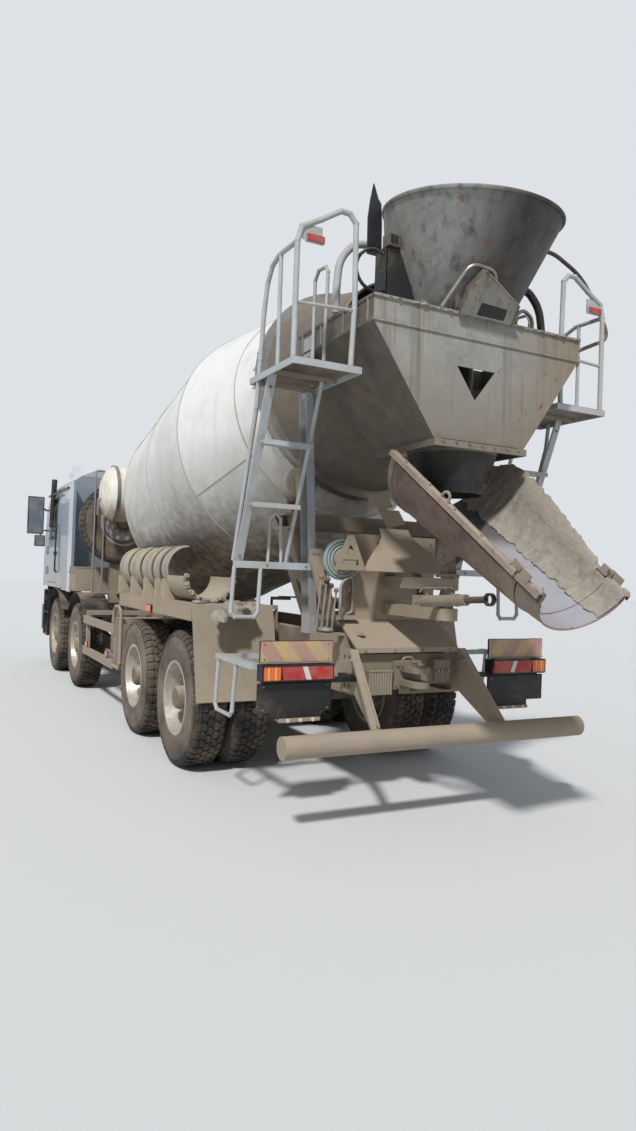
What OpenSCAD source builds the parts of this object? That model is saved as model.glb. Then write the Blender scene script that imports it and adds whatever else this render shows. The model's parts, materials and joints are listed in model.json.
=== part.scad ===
// Concrete mixer truck, 8x4, drum of about 9 cubic metres.
// +X points forward, +Y to the truck's left, +Z up.  Millimetres.
// The modules draw in the chassis frame, whose origin lies on the ground
// under the rearmost axle; truck() shifts that frame so that the part's
// origin is the middle of its footprint.

/* [Axles] */
// Rearmost axle to the one before it
bogie_gap = 1350; // [1300:10:1450]
// Front drive axle to the second steered axle
mid_gap = 3130; // [3000:10:3600]
// Second steered axle to the first
steer_gap = 1700; // [1650:10:1950]
// Foremost axle to the bumper's face
front_overhang = 1470; // [1400:10:1550]

/* [Wheels] */
// Outer radius of a tyre
tyre_r = 550; // [520:5:560]
// Width of a tyre
tyre_w = 296; // [280:2:310]
// Radius of the rim's bead seat
rim_r = 286; // [280:1:290]
// Centre plane of the steered wheels and of the outer twin wheels, from the middle
wheel_y = 1092; // [1080:1:1110]
// Distance between the centre planes of twin wheels
twin_gap = 348; // [335:1:355]
// Radius of the spindles of the steered wheels
spindle_r = 42; // [36:1:50]
// Radius of the ends of the drive axles
drive_end_r = 60; // [50:1:70]
// Radial clearance of a shaft in its hole
run_fit = 0.05; // [0.02:0.01:0.1]
// Kingpins, from the middle
kingpin_y = 868; // [840:2:890]
// Radius of a kingpin
kingpin_r = 26; // [20:1:30]

/* [Frame] */
// Top of the frame rails
rail_top = 1060; // [1030:5:1090]
// Height of the frame rails
rail_h = 290; // [260:5:320]
// Middle of the truck to the outer face of a rail
rail_half = 430; // [415:1:440]
// Width of a rail's flange
rail_flange = 85; // [70:1:100]
// Thickness of a rail
rail_t = 10; // [8:1:14]
// Rear end of the rails, behind the rearmost axle
frame_tail = 1500; // [1430:10:1540]
// Height of the subframe on the rails
sub_h = 110; // [90:5:130]
// Width of a subframe runner
sub_w = 80; // [60:2:90]

/* [Drum] */
// Tilt of the drum's axis
drum_tilt = 12.8; // [12:0.1:14]
// Height of the drum's axis above the rearmost axle
drum_z = 2897; // [2880:1:2930]
// Radius of the drum's middle band
drum_r = 1147; // [1100:1:1160]
// Thickness of the drum's shell
drum_t = 12; // [8:1:16]
// Rear end of the middle band, along the axis
band_rear = 480; // [440:5:520]
// Front end of the middle band, along the axis
band_front = 2410; // [2350:5:2450]
// Front rim of the front cone, along the axis
head_s = 2990; // [2950:5:3020]
// Radius of the front rim of the front cone
head_r = 800; // [700:5:850]
// Roller ring, along the axis
ring_s = -700; // [-760:5:-640]
// Radius of the roller ring
ring_r = 880; // [860:2:900]
// Width of the roller ring
ring_w = 90; // [70:2:110]
// Mouth of the drum, along the axis
mouth_s = -1460; // [-1480:5:-1430]
// Radius of the mouth
mouth_r = 570; // [550:5:590]
// Radius of a support roller
roller_r = 125; // [110:1:135]
// Angle of a support roller from straight below the drum
roller_angle = 36; // [32:1:40]

/* [Hopper] */
// Rear face of the discharge hopper, behind the rearmost axle
hopper_back = 2260; // [2230:5:2290]
// Top edge of the hopper
hopper_top = 3250; // [3230:5:3270]
// Half width of the hopper's top
hopper_half = 814; // [790:2:830]
// Length of the hopper's top
hopper_len = 1010; // [980:5:1040]
// Height of the upright band round the hopper's top
hopper_band = 150; // [130:5:170]
// Lip of the hopper's outlet
outlet_z = 2440; // [2430:2:2460]
// Half width of the outlet
outlet_half = 345; // [330:5:360]
// Thickness of the hopper's plates
plate_t = 8; // [6:1:12]
// Middle of the charging funnel's rim
funnel_top = 3940; // [3900:5:3980]
// Radius of the funnel's rim
funnel_r = 580; // [560:5:600]
// Radius of the funnel's foot
funnel_foot_r = 390; // [360:5:400]
// Forward tilt of the funnel's rim, rear edge low
funnel_tilt = 8; // [6:0.5:10]
// Middle of the funnel's rim, behind the rearmost axle
funnel_back = 2100; // [2060:5:2140]

/* [Chute] */
// Swivel axis of the chute, behind the rearmost axle
swivel_back = 1967; // [1950:1:1980]
// Height of the chute's tilt pins
tilt_z = 2185; // [2170:1:2200]
// Slope of the chute as parked
chute_slope = 37.5; // [30:0.5:42]
// Swing of the chute as parked, to the truck's right
chute_swing = 7; // [0:0.5:12]
// Half width of the trough at its upper end
trough_r1 = 450; // [430:5:460]
// Half width of the trough at its hinge
trough_r2 = 372; // [350:2:385]
// Length of the trough above its tilt pins
trough_up = 160; // [120:5:180]
// Length of the trough from its tilt pins to its fold hinge
trough_len = 1080; // [1000:10:1120]
// Length of the fold-over end
tail_len = 350; // [300:10:380]
// Rim of the trough above its tilt pins
trough_rise = 150; // [130:5:170]
// Thickness of the trough's plate
trough_t = 8; // [5:1:12]

/* [Cab] */
// Rear wall of the cab, from the foremost axle backwards
cab_back = 810; // [760:10:860]
// Front face of the cab, from the foremost axle forwards
cab_nose = 1390; // [1350:5:1410]
// Underside of the cab
cab_low = 1250; // [1230:5:1270]
// Roof's edge
cab_edge = 2830; // [2800:5:2860]
// Top of the roof
cab_high = 3010; // [2980:5:3040]
// Half width of the cab
cab_half = 1230; // [1200:5:1250]
// Thickness of the cab's walls and doors
cab_t = 55; // [45:1:65]
// Door's rear edge, from the foremost axle
door_rear = 60; // [20:5:120]
// Door's front edge, from the foremost axle
door_front = 990; // [960:5:1020]
// Gap round a door
door_gap = 7; // [5:1:10]

/* [Guards] */
// Half length of the underrun tube
underrun_half = 1184; // [1150:2:1200]
// Radius of the underrun tube
underrun_r = 70; // [60:1:76]
// Underrun tube, behind the rearmost axle
underrun_back = 2000; // [1980:5:2050]
// Height of the underrun tube
underrun_z = 564; // [540:2:590]
// Top of the rear mudguards
guard_top = 1330; // [1310:5:1350]
// Outer edge of the mudguards, guards and lamps, from the middle
side_half = 1240; // [1225:1:1250]

/* [Equipment] */
// Middle of the water tank, behind the foremost axle
tank_back = 2380; // [2340:5:2400]
// Height of the water tank's middle
tank_z = 2520; // [2480:5:2560]
// Radius of the water tank
tank_r = 350; // [320:5:355]
// Length of the water tank
tank_len = 1700; // [1660:10:1750]
// Middle of the water tank, to the truck's left
tank_y = 260; // [240:5:280]
// Middle of the spare wheel, behind the foremost axle
spare_back = 1830; // [1800:5:1850]
// Height of the spare wheel's middle
spare_z = 2180; // [2160:5:2220]
// Radius of the fuel tank
fuel_r = 300; // [270:5:310]
// Radius of the stored troughs
stored_r = 200; // [185:5:210]
// Length of the stored troughs
stored_len = 1730; // [1600:10:1760]
// Rear end of the stored troughs, in front of the rearmost axle
stored_x = 400; // [380:10:420]

/* [Hidden] */
$fn = 48;

axle3_x = bogie_gap;
axle2_x = axle3_x + mid_gap;
axle1_x = axle2_x + steer_gap;
bumper_x = axle1_x + front_overhang;
chute_s = trough_len + tail_len;
chute_n = trough_rise;
tail_x = -swivel_back - cos(chute_swing) * (chute_s * cos(chute_slope) + chute_n * sin(chute_slope))
    - (trough_r2 + 40) * sin(chute_swing);
mid_x = (bumper_x + tail_x) / 2;
sub_top = rail_top + sub_h;
drive_s = head_s + 260;
shaft_r = 60;

// A round bar from p to q
module bar(p, q, r) {
    v = q - p;
    translate(p) rotate([0, acos(v[2] / norm(v)), atan2(v[1], v[0])]) cylinder(h = norm(v), r = r);
}

// A bent pipe through the points of a route
module pipe(route, r) {
    for (i = [0 : len(route) - 2]) bar(route[i], route[i + 1], r);
    for (i = [1 : len(route) - 2]) translate(route[i]) rotate([37, 23, 0]) sphere(r = r + 2);
}

// A box from its lowest to its highest corner
module block(low, high) { translate(low) cube(high - low); }

// Places shapes in the part's own frame
module truck() { translate([-mid_x, 0, 0]) children(); }

// Draws on the left and mirrored on the right
module both_sides() { children(); mirror([0, 1, 0]) children(); }

// Draws on the given side: 1 left, -1 right
module on_side(side) { if (side > 0) children(); else mirror([0, 1, 0]) children(); }

// Local Z along the drum's axis, forward and down; local X points down
module on_drum() { translate([0, 0, drum_z]) rotate([0, 90 + drum_tilt, 0]) children(); }

// Local X down the trough, Z square to its floor, origin at the tilt pins
module on_chute() {
    translate([-swivel_back, 0, tilt_z]) rotate([0, 0, chute_swing])
        rotate([0, -chute_slope, 0]) rotate([0, 0, 180]) children();
}

// Frame: rails, cross members, subframe and the cab's mounts
cross_members = [140 - frame_tail, -250, axle3_x / 2 - 55, axle3_x + 550, axle2_x - 1680, axle2_x - 880,
    axle2_x + 370, bumper_x - 500];
sub_front = axle1_x - 2430;
rail_front = bumper_x - 155.3;
module rail() {
    low = rail_top - rail_h;
    block([-frame_tail, rail_half - rail_t, low], [rail_front, rail_half, rail_top]);
    for (z = [low, rail_top - rail_t])
        block([-frame_tail, rail_half - rail_flange, z], [rail_front, rail_half, z + rail_t]);
}
module frame() truck() color([0.45, 0.40, 0.34]) {
    both_sides() {
        rail();
        block([-frame_tail + 110, rail_half - sub_w, rail_top], [sub_front, rail_half, sub_top]);
    }
    for (x = cross_members) {
        block([x - 5, -rail_half + rail_t, rail_top - rail_h + 60], [x + 5, rail_half - rail_t, rail_top - 60]);
        for (z = [rail_top - rail_h + 60, rail_top - 68])
            block([x - 50, -rail_half + rail_t, z], [x + 50, rail_half - rail_t, z + 8]);
    }
    cab_mounts();
}

// Trestle that carries the drum's drive
trestle_x = cos(drum_tilt) * (drive_s + 165);
trestle_top = drum_z - sin(drum_tilt) * (drive_s + 165) - 290;
trestle_half = rail_half - 100;
module drive_trestle() truck() color([0.45, 0.40, 0.34]) {
    for (y = [-1, 1]) {
        block([trestle_x - 150, y * trestle_half - 6, sub_top + 15], [trestle_x + 150, y * trestle_half + 6, trestle_top]);
        block([trestle_x - 150, y * 380 - 50, sub_top + 0.3], [trestle_x + 150, y * 380 + 50, sub_top + 16]);
    }
    for (x = [-1, 1]) difference() {
        block([trestle_x + x * 144 - 6, -trestle_half, sub_top + 0.3], [trestle_x + x * 144 + 6, trestle_half, trestle_top - 40]);
        block([trestle_x + x * 144 - 7, -trestle_half + 90, sub_top + 90],
            [trestle_x + x * 144 + 7, trestle_half - 90, trestle_top - 150]);
    }
    block([trestle_x - 180, -trestle_half - 20, trestle_top], [trestle_x + 180, trestle_half + 20, trestle_top + 20]);
}

// Rear beam between the rails' ends, with the trailer coupling and a junction box
jaw_z = rail_top - 155;
jaw_pin_r = 20;
beam_half = rail_half - rail_t - 0.3;
module rear_beam() truck() color([0.45, 0.40, 0.34]) {
    x = -frame_tail;
    difference() {
        block([x, -beam_half, rail_top - 230], [x + 70, beam_half, rail_top - 10.3]);
        translate([x - 10, 0, jaw_z]) rotate([0, 90, 0]) cylinder(h = 100, r = 26);
    }
    difference() {
        union() {
            block([x - 40, -110, jaw_z - 100], [x, 110, jaw_z + 100]);
            block([x - 190, -70, jaw_z + 30], [x - 40, 70, jaw_z + 70]);
            block([x - 190, -70, jaw_z - 70], [x - 40, 70, jaw_z - 30]);
            translate([x - 190, 0, jaw_z + 30]) cylinder(h = 40, r = 70);
            translate([x - 190, 0, jaw_z - 70]) cylinder(h = 40, r = 70);
        }
        translate([x - 120, 0, jaw_z - 80]) cylinder(h = 160, r = jaw_pin_r);
    }
    block([x - 60, 140, 772], [x, 330, 940]);
    block([x - 90, -330, 860], [x, -200, 1010]);
}

// A stack of leaves, bowed, centred over an axle
module leaf_stack(half, drop, count, w) {
    r = (half * half + drop * drop) / (2 * drop);
    rotate([90, 0, 0]) translate([0, r, -w / 2]) linear_extrude(w) difference() {
        for (i = [0 : count - 1]) {
            a = asin(half * (1 - 0.14 * i) / r);
            intersection() {
                circle(r = r + 14 * (i + 1), $fn = 270);
                polygon([[0, 0], [-2 * r * sin(a), -2 * r * cos(a)], [2 * r * sin(a), -2 * r * cos(a)]]);
            }
        }
        circle(r = r, $fn = 270);
    }
}

// Steered axles: dropped beams with eyes for the kingpins, and their springs
beam_drop = 90;
eye_h = 110;
module steer_axle(x) translate([x, 0, tyre_r]) {
    block([-45, -560, -beam_drop - 50], [45, 560, -beam_drop + 50]);
    both_sides() {
        difference() {
            union() {
                hull() {
                    block([-45, 540, -beam_drop - 50], [45, 560, -beam_drop + 50]);
                    block([-40, kingpin_y - 62, -eye_h / 2], [40, kingpin_y - 40, eye_h / 2]);
                }
                translate([0, kingpin_y, -eye_h / 2]) cylinder(h = eye_h, r = 52);
            }
        }
        translate([0, kingpin_y, -eye_h / 2 - 60]) cylinder(h = eye_h + 120, r = kingpin_r);
        translate([0, 390, -beam_drop + 50]) leaf_stack(780, 130, 4, 90);
        block([-70, 335, -beam_drop + 50], [70, 445, -beam_drop + 62]);
        for (end = [-1, 1]) spring_hanger(end * 780, 390, 130 - beam_drop + 50);
    }
}
// Bracket between a spring's end and the rail
module spring_hanger(x, y, z) {
    block([x - 35, y - 50, z], [x + 35, y + 50, z + 60]);
    block([x - 45, rail_half, z], [x + 45, rail_half + 14, rail_top - 40 - tyre_r]);
}
module steer_axles() truck() color([0.42, 0.38, 0.33]) {
    steer_axle(axle1_x);
    steer_axle(axle2_x);
}

// Drive axles: housings with domed differentials, shared rocker springs and rods
housing_r = 75;
bowl_r = 235;
module drive_axle(x) translate([x, 0, tyre_r]) {
    rotate([90, 0, 0]) {
        translate([0, 0, -560]) cylinder(h = 1120, r = housing_r);
        translate([0, 0, -wheel_y - 50]) cylinder(h = 2 * wheel_y + 100, r = drive_end_r);
    }
    rotate([0, 90, 0]) rotate_extrude() polygon([[0, -170], [120, -160], [bowl_r - 40, -90], [bowl_r, -20],
        [bowl_r, 60], [150, 110], [110, 230], [70, 300], [0, 300]]);
}
rocker_y = 505;
module drive_axles() truck() color([0.42, 0.38, 0.33]) {
    drive_axle(0);
    drive_axle(axle3_x);
    both_sides() {
        translate([bogie_gap / 2, rocker_y, tyre_r + 110]) mirror([0, 0, 1]) translate([0, 0, -70])
            leaf_stack(bogie_gap / 2 + 40, 70, 6, 90);
        block([bogie_gap / 2 - 90, rail_half, tyre_r + 20], [bogie_gap / 2 + 90, rocker_y + 45, rail_top - 60]);
        for (x = [0, bogie_gap]) block([x - 60, rocker_y - 45, tyre_r + 30], [x + 60, rocker_y + 45, tyre_r + 112]);
    }
}

// Engine as one plain block, gearbox and shafts to the drive axles
module powertrain() truck() color([0.30, 0.30, 0.31]) {
    block([axle1_x - 750, -340, 700], [axle1_x + 500, 340, 1195]);
    block([axle1_x - 1180, -rail_half + 130, 640], [axle1_x - 750, rail_half - 130, 1040]);
    bar([axle1_x - 1180, 0, 740], [axle3_x + 325, 0, tyre_r + 8], 60);
    translate([axle3_x + 300.3, 0, tyre_r]) rotate([0, 90, 0]) cylinder(h = 40, r = 72);
    bar([axle3_x - 170.3, 0, tyre_r], [300.3, 0, tyre_r], 50);
}

// Fuel tank on the right, air tanks and battery box on the left
fuel_x = axle3_x + 1000;
fuel_y = side_half - fuel_r - 110;
module side_tanks() truck() color([0.55, 0.53, 0.50]) {
    translate([fuel_x, -fuel_y, 790]) rotate([0, 90, 0]) {
        cylinder(h = 1130, r = fuel_r);
        for (z = [200, 870]) translate([0, 0, z]) difference() {
            cylinder(h = 60, r = fuel_r + 6);
            translate([0, 0, -1]) cylinder(h = 62, r = fuel_r - 1);
        }
    }
    for (x = [fuel_x + 230, fuel_x + 900]) block([x - 40, 130 - fuel_y, 860], [x + 40, -rail_half, 1000]);
    for (z = [600, 850]) translate([axle3_x + 890, rail_half + 160, z]) rotate([0, 90, 0]) cylinder(h = 700, r = 110);
    for (x = [axle3_x + 990, axle3_x + 1430]) block([x, rail_half, 560], [x + 60, rail_half + 70, 980]);
    block([axle3_x + 1650, rail_half, 540], [axle3_x + 2170, side_half - 270, 960]);
    block([axle3_x + 1670, rail_half, 959], [axle3_x + 2150, side_half - 290, 975]);
}

// Box on a shelf over the second axle's left mudguard
module tool_box() truck() color([0.60, 0.54, 0.46]) {
    x = axle2_x + 80;
    z = rail_top + 190;
    block([x, rail_half, z], [x + 440, side_half, z + 12]);
    block([x, side_half - 500, z + 11], [x + 440, side_half, z + 323]);
    block([x - 6, side_half - 506, z + 315], [x + 446, side_half + 4, z + 330]);
    block([x + 200, rail_half, rail_top - 90], [x + 260, rail_half + 12, z + 1]);
}

// Side guard rails with their hangers, and the rear underrun tube with its arms
guard_front = axle2_x - tyre_r - 30;
guard_rear = axle3_x + tyre_r + 340;
module guard_rails() truck() color([0.60, 0.54, 0.46]) {
    both_sides() {
        for (z = [500, 880]) block([guard_rear, side_half - 30, z], [guard_front, side_half - 4, z + 95]);
        for (x = [guard_rear, guard_front - 110]) {
            block([x, side_half - 74, 500], [x + 60, side_half - 30, 1040]);
            block([x, rail_half, 985], [x + 60, side_half - 30, 1040]);
        }
        y = side_half - 17;
        x = axle3_x + tyre_r + 45;
        pipe([[guard_rear + 40, y, 1010], [guard_rear + 20, y, 1120], [guard_rear - 60, y, 1175], [x + 70, y, 1185],
            [x + 10, y, 1140], [x, y, 1060], [x, y, 600], [x + 40, y, 540], [guard_rear + 20, y, 540]], 19);
    }
    translate([-underrun_back, -underrun_half, underrun_z]) rotate([-90, 0, 0]) cylinder(h = 2 * underrun_half, r = underrun_r);
    both_sides() {
        hull() {
            block([-frame_tail - 60, rail_half, 790], [-frame_tail + 120, rail_half + 14, 800]);
            block([-frame_tail - 60, rail_half, 1080], [-frame_tail + 120, rail_half + 14, 1090]);
        }
        hull() {
            block([-frame_tail - 60, rail_half, 790], [-frame_tail - 50, rail_half + 14, 1090]);
            block([-underrun_back + 40, rail_half + 50, underrun_z - 20], [-underrun_back + 60, rail_half + 64, underrun_z + 80]);
        }
        hull() {
            block([-frame_tail - 60, rail_half, 1076], [-frame_tail - 50, rail_half + 60, 1090]);
            block([-underrun_back + 40, rail_half + 50, underrun_z + 50], [-underrun_back + 60, rail_half + 110, underrun_z + 64]);
        }
    }
}

// Rear mudguards over both drive axles, with their sloping rear panels
guard_tail = 400;
guard_nose = axle3_x + 630;
guard_in = rail_half + 130;
module rear_mudguards() truck() color([0.62, 0.56, 0.48]) both_sides() {
    block([-guard_tail, guard_in, guard_top - 6], [guard_nose, side_half, guard_top]);
    block([-guard_tail, side_half - 6, guard_top - 130], [guard_nose, side_half, guard_top]);
    block([-guard_tail, side_half - 30, guard_top - 130], [guard_nose, side_half, guard_top - 124]);
    hull() {
        block([-guard_tail - 6, guard_in, guard_top - 6], [-guard_tail, side_half, guard_top]);
        block([-tyre_r - 44, guard_in, 600], [-tyre_r - 38, side_half, 606]);
    }
    for (x = [-200, bogie_gap / 2, guard_nose - 130]) {
        block([x - 25, rail_half, guard_top - 40], [x + 25, guard_in + 100, guard_top - 6]);
        block([x - 25, rail_half, rail_top - 60], [x + 25, rail_half + 10, guard_top - 6]);
    }
}

// Lamps, marker boards and blank plates under them, left and right
board_x = frame_tail + 110;
board_in = rail_half + 230;
module rear_lamps() truck() color([0.55, 0.10, 0.08]) both_sides() {
    block([-board_x - 12, board_in - 3, 1022], [-board_x, board_in + 521, 1162]);
    block([-board_x - 50, board_in + 10, 905], [-board_x + 40, board_in + 515, 1010]);
    block([-board_x - 12, board_in, 700], [-board_x, board_in + 530, 890]);
    for (y = [40, 430]) block([-board_x - 1, board_in + y, 700], [-board_x + 12, board_in + y + 50, 1162]);
    block([-board_x, rail_half + 30, 880], [-board_x + 40, board_in + 490, 915]);
    block([-board_x + 39, rail_half + 30, 880], [-frame_tail + 100, rail_half + 60, 915]);
    block([-frame_tail - 40, rail_half + 14.3, 880], [-frame_tail + 100, rail_half + 31, 915]);
    block([-board_x - 12, board_in + 80, 655], [-board_x + 2, board_in + 380, 701]);
}

// Rear pedestal: trestle that carries the drum's rollers
roller_c = ring_r + roller_r + 0.3;
roller_pin_r = 30;
swivel_pin_r = 45;
sleeve_low = 1320;
sleeve_high = 1520;
sleeve_h = 80;
module roller_at(side) on_drum() rotate([0, 0, side * roller_angle]) translate([roller_c, 0, ring_s]) children();
module rear_pedestal() truck() color([0.60, 0.55, 0.48]) {
    beam_x = -870;
    beam_half = 720;
    difference() {
        block([beam_x - 150, -beam_half, 1930], [beam_x + 150, beam_half, 2040]);
        block([beam_x - 138, -beam_half - 1, 1942], [beam_x + 138, beam_half + 1, 2028]);
    }
    both_sides() {
        difference() {
            hull() {
                block([beam_x - 120, beam_half - 120, 1925], [beam_x + 120, beam_half, 1932]);
                block([beam_x - 120, rail_half - 90, sub_top + 0.3], [beam_x + 120, rail_half, sub_top + 6]);
            }
            for (z = [1330, 1500, 1670]) translate([beam_x, 0, z]) rotate([-90, 0, 0]) scale([0.5, 1, 1]) cylinder(h = 900, r = 55);
        }
        roller_at(1) translate([0, 0, -ring_w / 2 - 60]) cylinder(h = ring_w + 120, r = roller_pin_r);
        roller_at(1) for (z = [-1, 1]) translate([0, 0, z * (ring_w / 2 + 40) - 8]) rotate([0, 0, -roller_angle])
            translate([-50, -60, 0]) cube([330, 120, 16]);
    }
}

// Posts of the hopper, folded channels on a cross beam
post_top = hopper_top - 190;
post_low = 1300;
function post_rear(z) = -1480 + (post_top - z) * 300 / (post_top - post_low);
module hopper_posts() truck() color([0.60, 0.62, 0.62]) {
    both_sides() {
        difference() {
            hull() {
                block([-1480, hopper_half + 0.3, post_top - 10], [-1360, hopper_half + 46, post_top]);
                block([-1180, 560, post_low], [-1060, 620, post_low + 6]);
            }
            hull() {
                block([-1472, hopper_half + 9, post_top - 9], [-1368, hopper_half + 50, post_top + 10]);
                block([-1172, 568, post_low - 10], [-1068, 630, post_low + 10]);
            }
        }
        block([-1490, hopper_half + 0.3, post_top - 40], [-1360, hopper_half + 12, hopper_top - 50]);
        block([-1180, rail_half - 60, sub_top + 0.3], [-1060, 620, post_low]);
    }
    block([-1180, -560, post_low], [-1060, 560, post_low + 30]);
}

// Rear deck: sloping plates, bearing of the chute's swivel, hose holder and control levers
deck_tail = frame_tail + 50;
module rear_deck() truck() color([0.60, 0.55, 0.48]) {
    deck_plates();
    for (z = [sleeve_low, sleeve_high]) {
        difference() {
            translate([-swivel_back, 0, z]) cylinder(h = sleeve_h, r = 75);
            translate([-swivel_back, 0, z - 1]) cylinder(h = sleeve_h + 2, r = swivel_pin_r + run_fit);
        }
        block([-swivel_back + 60, -50, z], [-1250, 50, z + sleeve_h]);
    }
    hose_holder();
    levers();
}
// Half outline of the upper plate, from its lower edge up its slope
deck_flank = [[370, 0], [372, 30], [330, 95], [255, 180], [170, 270], [132, 330], [124, 405]];
module deck_plates() {
    hull() {
        block([-1260, -rail_half, 1272], [-1250, rail_half, 1280]);
        block([-deck_tail, -rail_half, 1092], [-deck_tail + 10, rail_half, 1100]);
    }
    block([-deck_tail, -rail_half, rail_top + 5], [-deck_tail + 8, rail_half, 1096]);
    for (y = [-1, 1]) hull() {
        block([-deck_tail + 4, y * 385 - 5, rail_top + 0.3], [-deck_tail + 8, y * 385 + 5, 1092]);
        block([-frame_tail + 90, y * 385 - 5, rail_top + 0.3], [-frame_tail + 96, y * 385 + 5, 1174]);
    }
    block([-1262, -400, 1268], [-1250, 400, 1900]);
    block([-1250, 120, 1310], [-1180.3, 160, 1420]);
    block([-1250, -160, 1310], [-1180.3, -120, 1420]);
    translate([-1548, 0, 1632]) rotate([0, atan2(250, 316), 0]) rotate([90, 0, 90]) linear_extrude(8)
        polygon([for (i = [0 : 6]) deck_flank[i], for (i = [6 : -1 : 0]) [-deck_flank[i][0], deck_flank[i][1]]]);
    block([-1342, -60, 1880], [-1255, 60, 1900]);
    translate([-1270, 0, 0]) rotate([90, 0, 90]) linear_extrude(8) {
        polygon([[233, 2198], [51, 2199], [-3, 2110], [180, 2097]]);
        polygon([[130, 2086], [-55, 2092], [-119, 1996], [8, 1966]]);
    }
    translate([-1263, 0, 0]) rotate([90, 0, 90]) linear_extrude(8)
        polygon([[170, 2190], [110, 2190], [-60, 1890], [0, 1890]]);
}
holder_x = -1330;
holder_y = 480;
holder_z = 1705;
hub_r = 81;
module hose_holder() {
    hull() {
        block([holder_x, 600, 1700], [holder_x + 30, 695, 1775]);
        block([holder_x, 480, 1290], [holder_x + 30, 575, 1300]);
    }
    block([holder_x, 430, 1665], [holder_x + 30, 650, 1745]);
    translate([holder_x - 122, holder_y, holder_z]) rotate([0, 90, 0]) cylinder(h = 123, r = hub_r);
    translate([holder_x - 128, holder_y - 30, holder_z]) rotate([90, 0, 90]) linear_extrude(8) difference() {
        polygon([[-125, -72], [125, -72], [28, 172], [-20, 172]]);
        polygon([[-36, 30], [40, 30], [12, 100], [-6, 100]]);
        polygon([[-66, -34], [70, -34], [62, 2], [-58, 2]]);
    }
    block([holder_x, 300, 1280], [-1250, 575, 1310]);
}
module levers() {
    for (i = [0 : 3]) {
        bar([-1330, 520 + 40 * i, 1150], [-1390, 520 + 40 * i, 1480 + 30 * i], 7);
        translate([-1390, 520 + 40 * i, 1490 + 30 * i]) sphere(r = 17);
    }
    block([-1380, 490, 1130], [-1290, 660, 1190]);
    block([-1370, rail_half - 20, sub_top + 0.3], [-1300, 500, 1188]);
}

// Drum drive: gearbox with a bore for the drum's shaft, and its motor
module drum_drive() truck() color([0.35, 0.36, 0.38]) {
    on_drum() difference() {
        rotate_extrude() polygon([[0, drive_s], [230, drive_s], [250, drive_s + 40], [250, drive_s + 220],
            [190, drive_s + 260], [190, drive_s + 330], [110, drive_s + 340], [110, drive_s + 460], [0, drive_s + 460]]);
        translate([0, 0, drive_s - 1]) cylinder(h = 121, r = shaft_r + run_fit);
    }
    hull() {
        on_drum() block([150, -180, drive_s + 60], [200, 180, drive_s + 200]);
        block([trestle_x - 110, -190, trestle_top + 20], [trestle_x + 110, 190, trestle_top + 26]);
    }
}

// Drum: a hollow shell with its roller ring, mouth and shaft
neck_s = -900;
neck_r = 780;
module drum_outline(inset) {
    t = inset;
    polygon([[0, mouth_s - (t > 0 ? 10 : 0)], [mouth_r - t, mouth_s - (t > 0 ? 10 : 0)], [mouth_r - t, mouth_s + 60],
        [neck_r - t, neck_s], [drum_r - t, band_rear], [drum_r - t, band_front], [head_r - t, head_s - 0.4 * t],
        [head_r * 0.75, head_s + 110 - t], [head_r * 0.4, head_s + 175 - t], [0, head_s + 200 - t]]);
}
function cone_r(s) = neck_r + (drum_r - neck_r) * (s - neck_s) / (band_rear - neck_s);
module drum() truck() color([0.88, 0.88, 0.85]) on_drum() {
    rotate_extrude($fn = 96) difference() { drum_outline(0); drum_outline(drum_t); }
    rotate_extrude($fn = 96) polygon([[cone_r(ring_s - ring_w / 2) - 3, ring_s - ring_w / 2], [ring_r, ring_s - ring_w / 2],
        [ring_r, ring_s + ring_w / 2], [cone_r(ring_s + ring_w / 2) - 3, ring_s + ring_w / 2]]);
    translate([0, 0, head_s + 150]) cylinder(h = 104, r = 200);
    translate([0, 0, head_s + 150]) cylinder(h = 104 + 110, r = shaft_r);
}

// Support roller, centred on its pin
module roller() difference() {
    translate([0, 0, -ring_w / 2 - 15]) cylinder(h = ring_w + 30, r = roller_r);
    translate([0, 0, -ring_w / 2 - 16]) cylinder(h = ring_w + 32, r = roller_pin_r + run_fit);
}
module roller_left() truck() color([0.4, 0.4, 0.42]) roller_at(1) roller();
module roller_right() truck() color([0.4, 0.4, 0.42]) mirror([0, 1, 0]) roller_at(1) roller();

// Hopper under the drum's mouth, open above, cut away round the drum
hopper_front = hopper_back - hopper_len;
outlet_front = 1600;
module hopper_solid(t) {
    hull() {
        block([-hopper_back + t, -hopper_half + t, hopper_top - hopper_band],
            [-hopper_front - t, hopper_half - t, hopper_top - hopper_band + 1]);
        block([-hopper_back + t, -outlet_half + t, outlet_z], [-outlet_front - t, outlet_half - t, outlet_z + 1]);
    }
    block([-hopper_back + t, -hopper_half + t, hopper_top - hopper_band],
        [-hopper_front - t, hopper_half - t, hopper_top + t]);
    block([-hopper_back + t, -outlet_half + t, outlet_z - t], [-outlet_front - t, outlet_half - t, outlet_z + 1]);
}
module drum_clear() on_drum() rotate_extrude($fn = 96) polygon([[0, mouth_s - 40], [mouth_r + 40, mouth_s - 40],
    [mouth_r + 45, mouth_s + 60], [neck_r + 45, neck_s], [neck_r + 150, neck_s + 400], [0, neck_s + 400]]);
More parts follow.
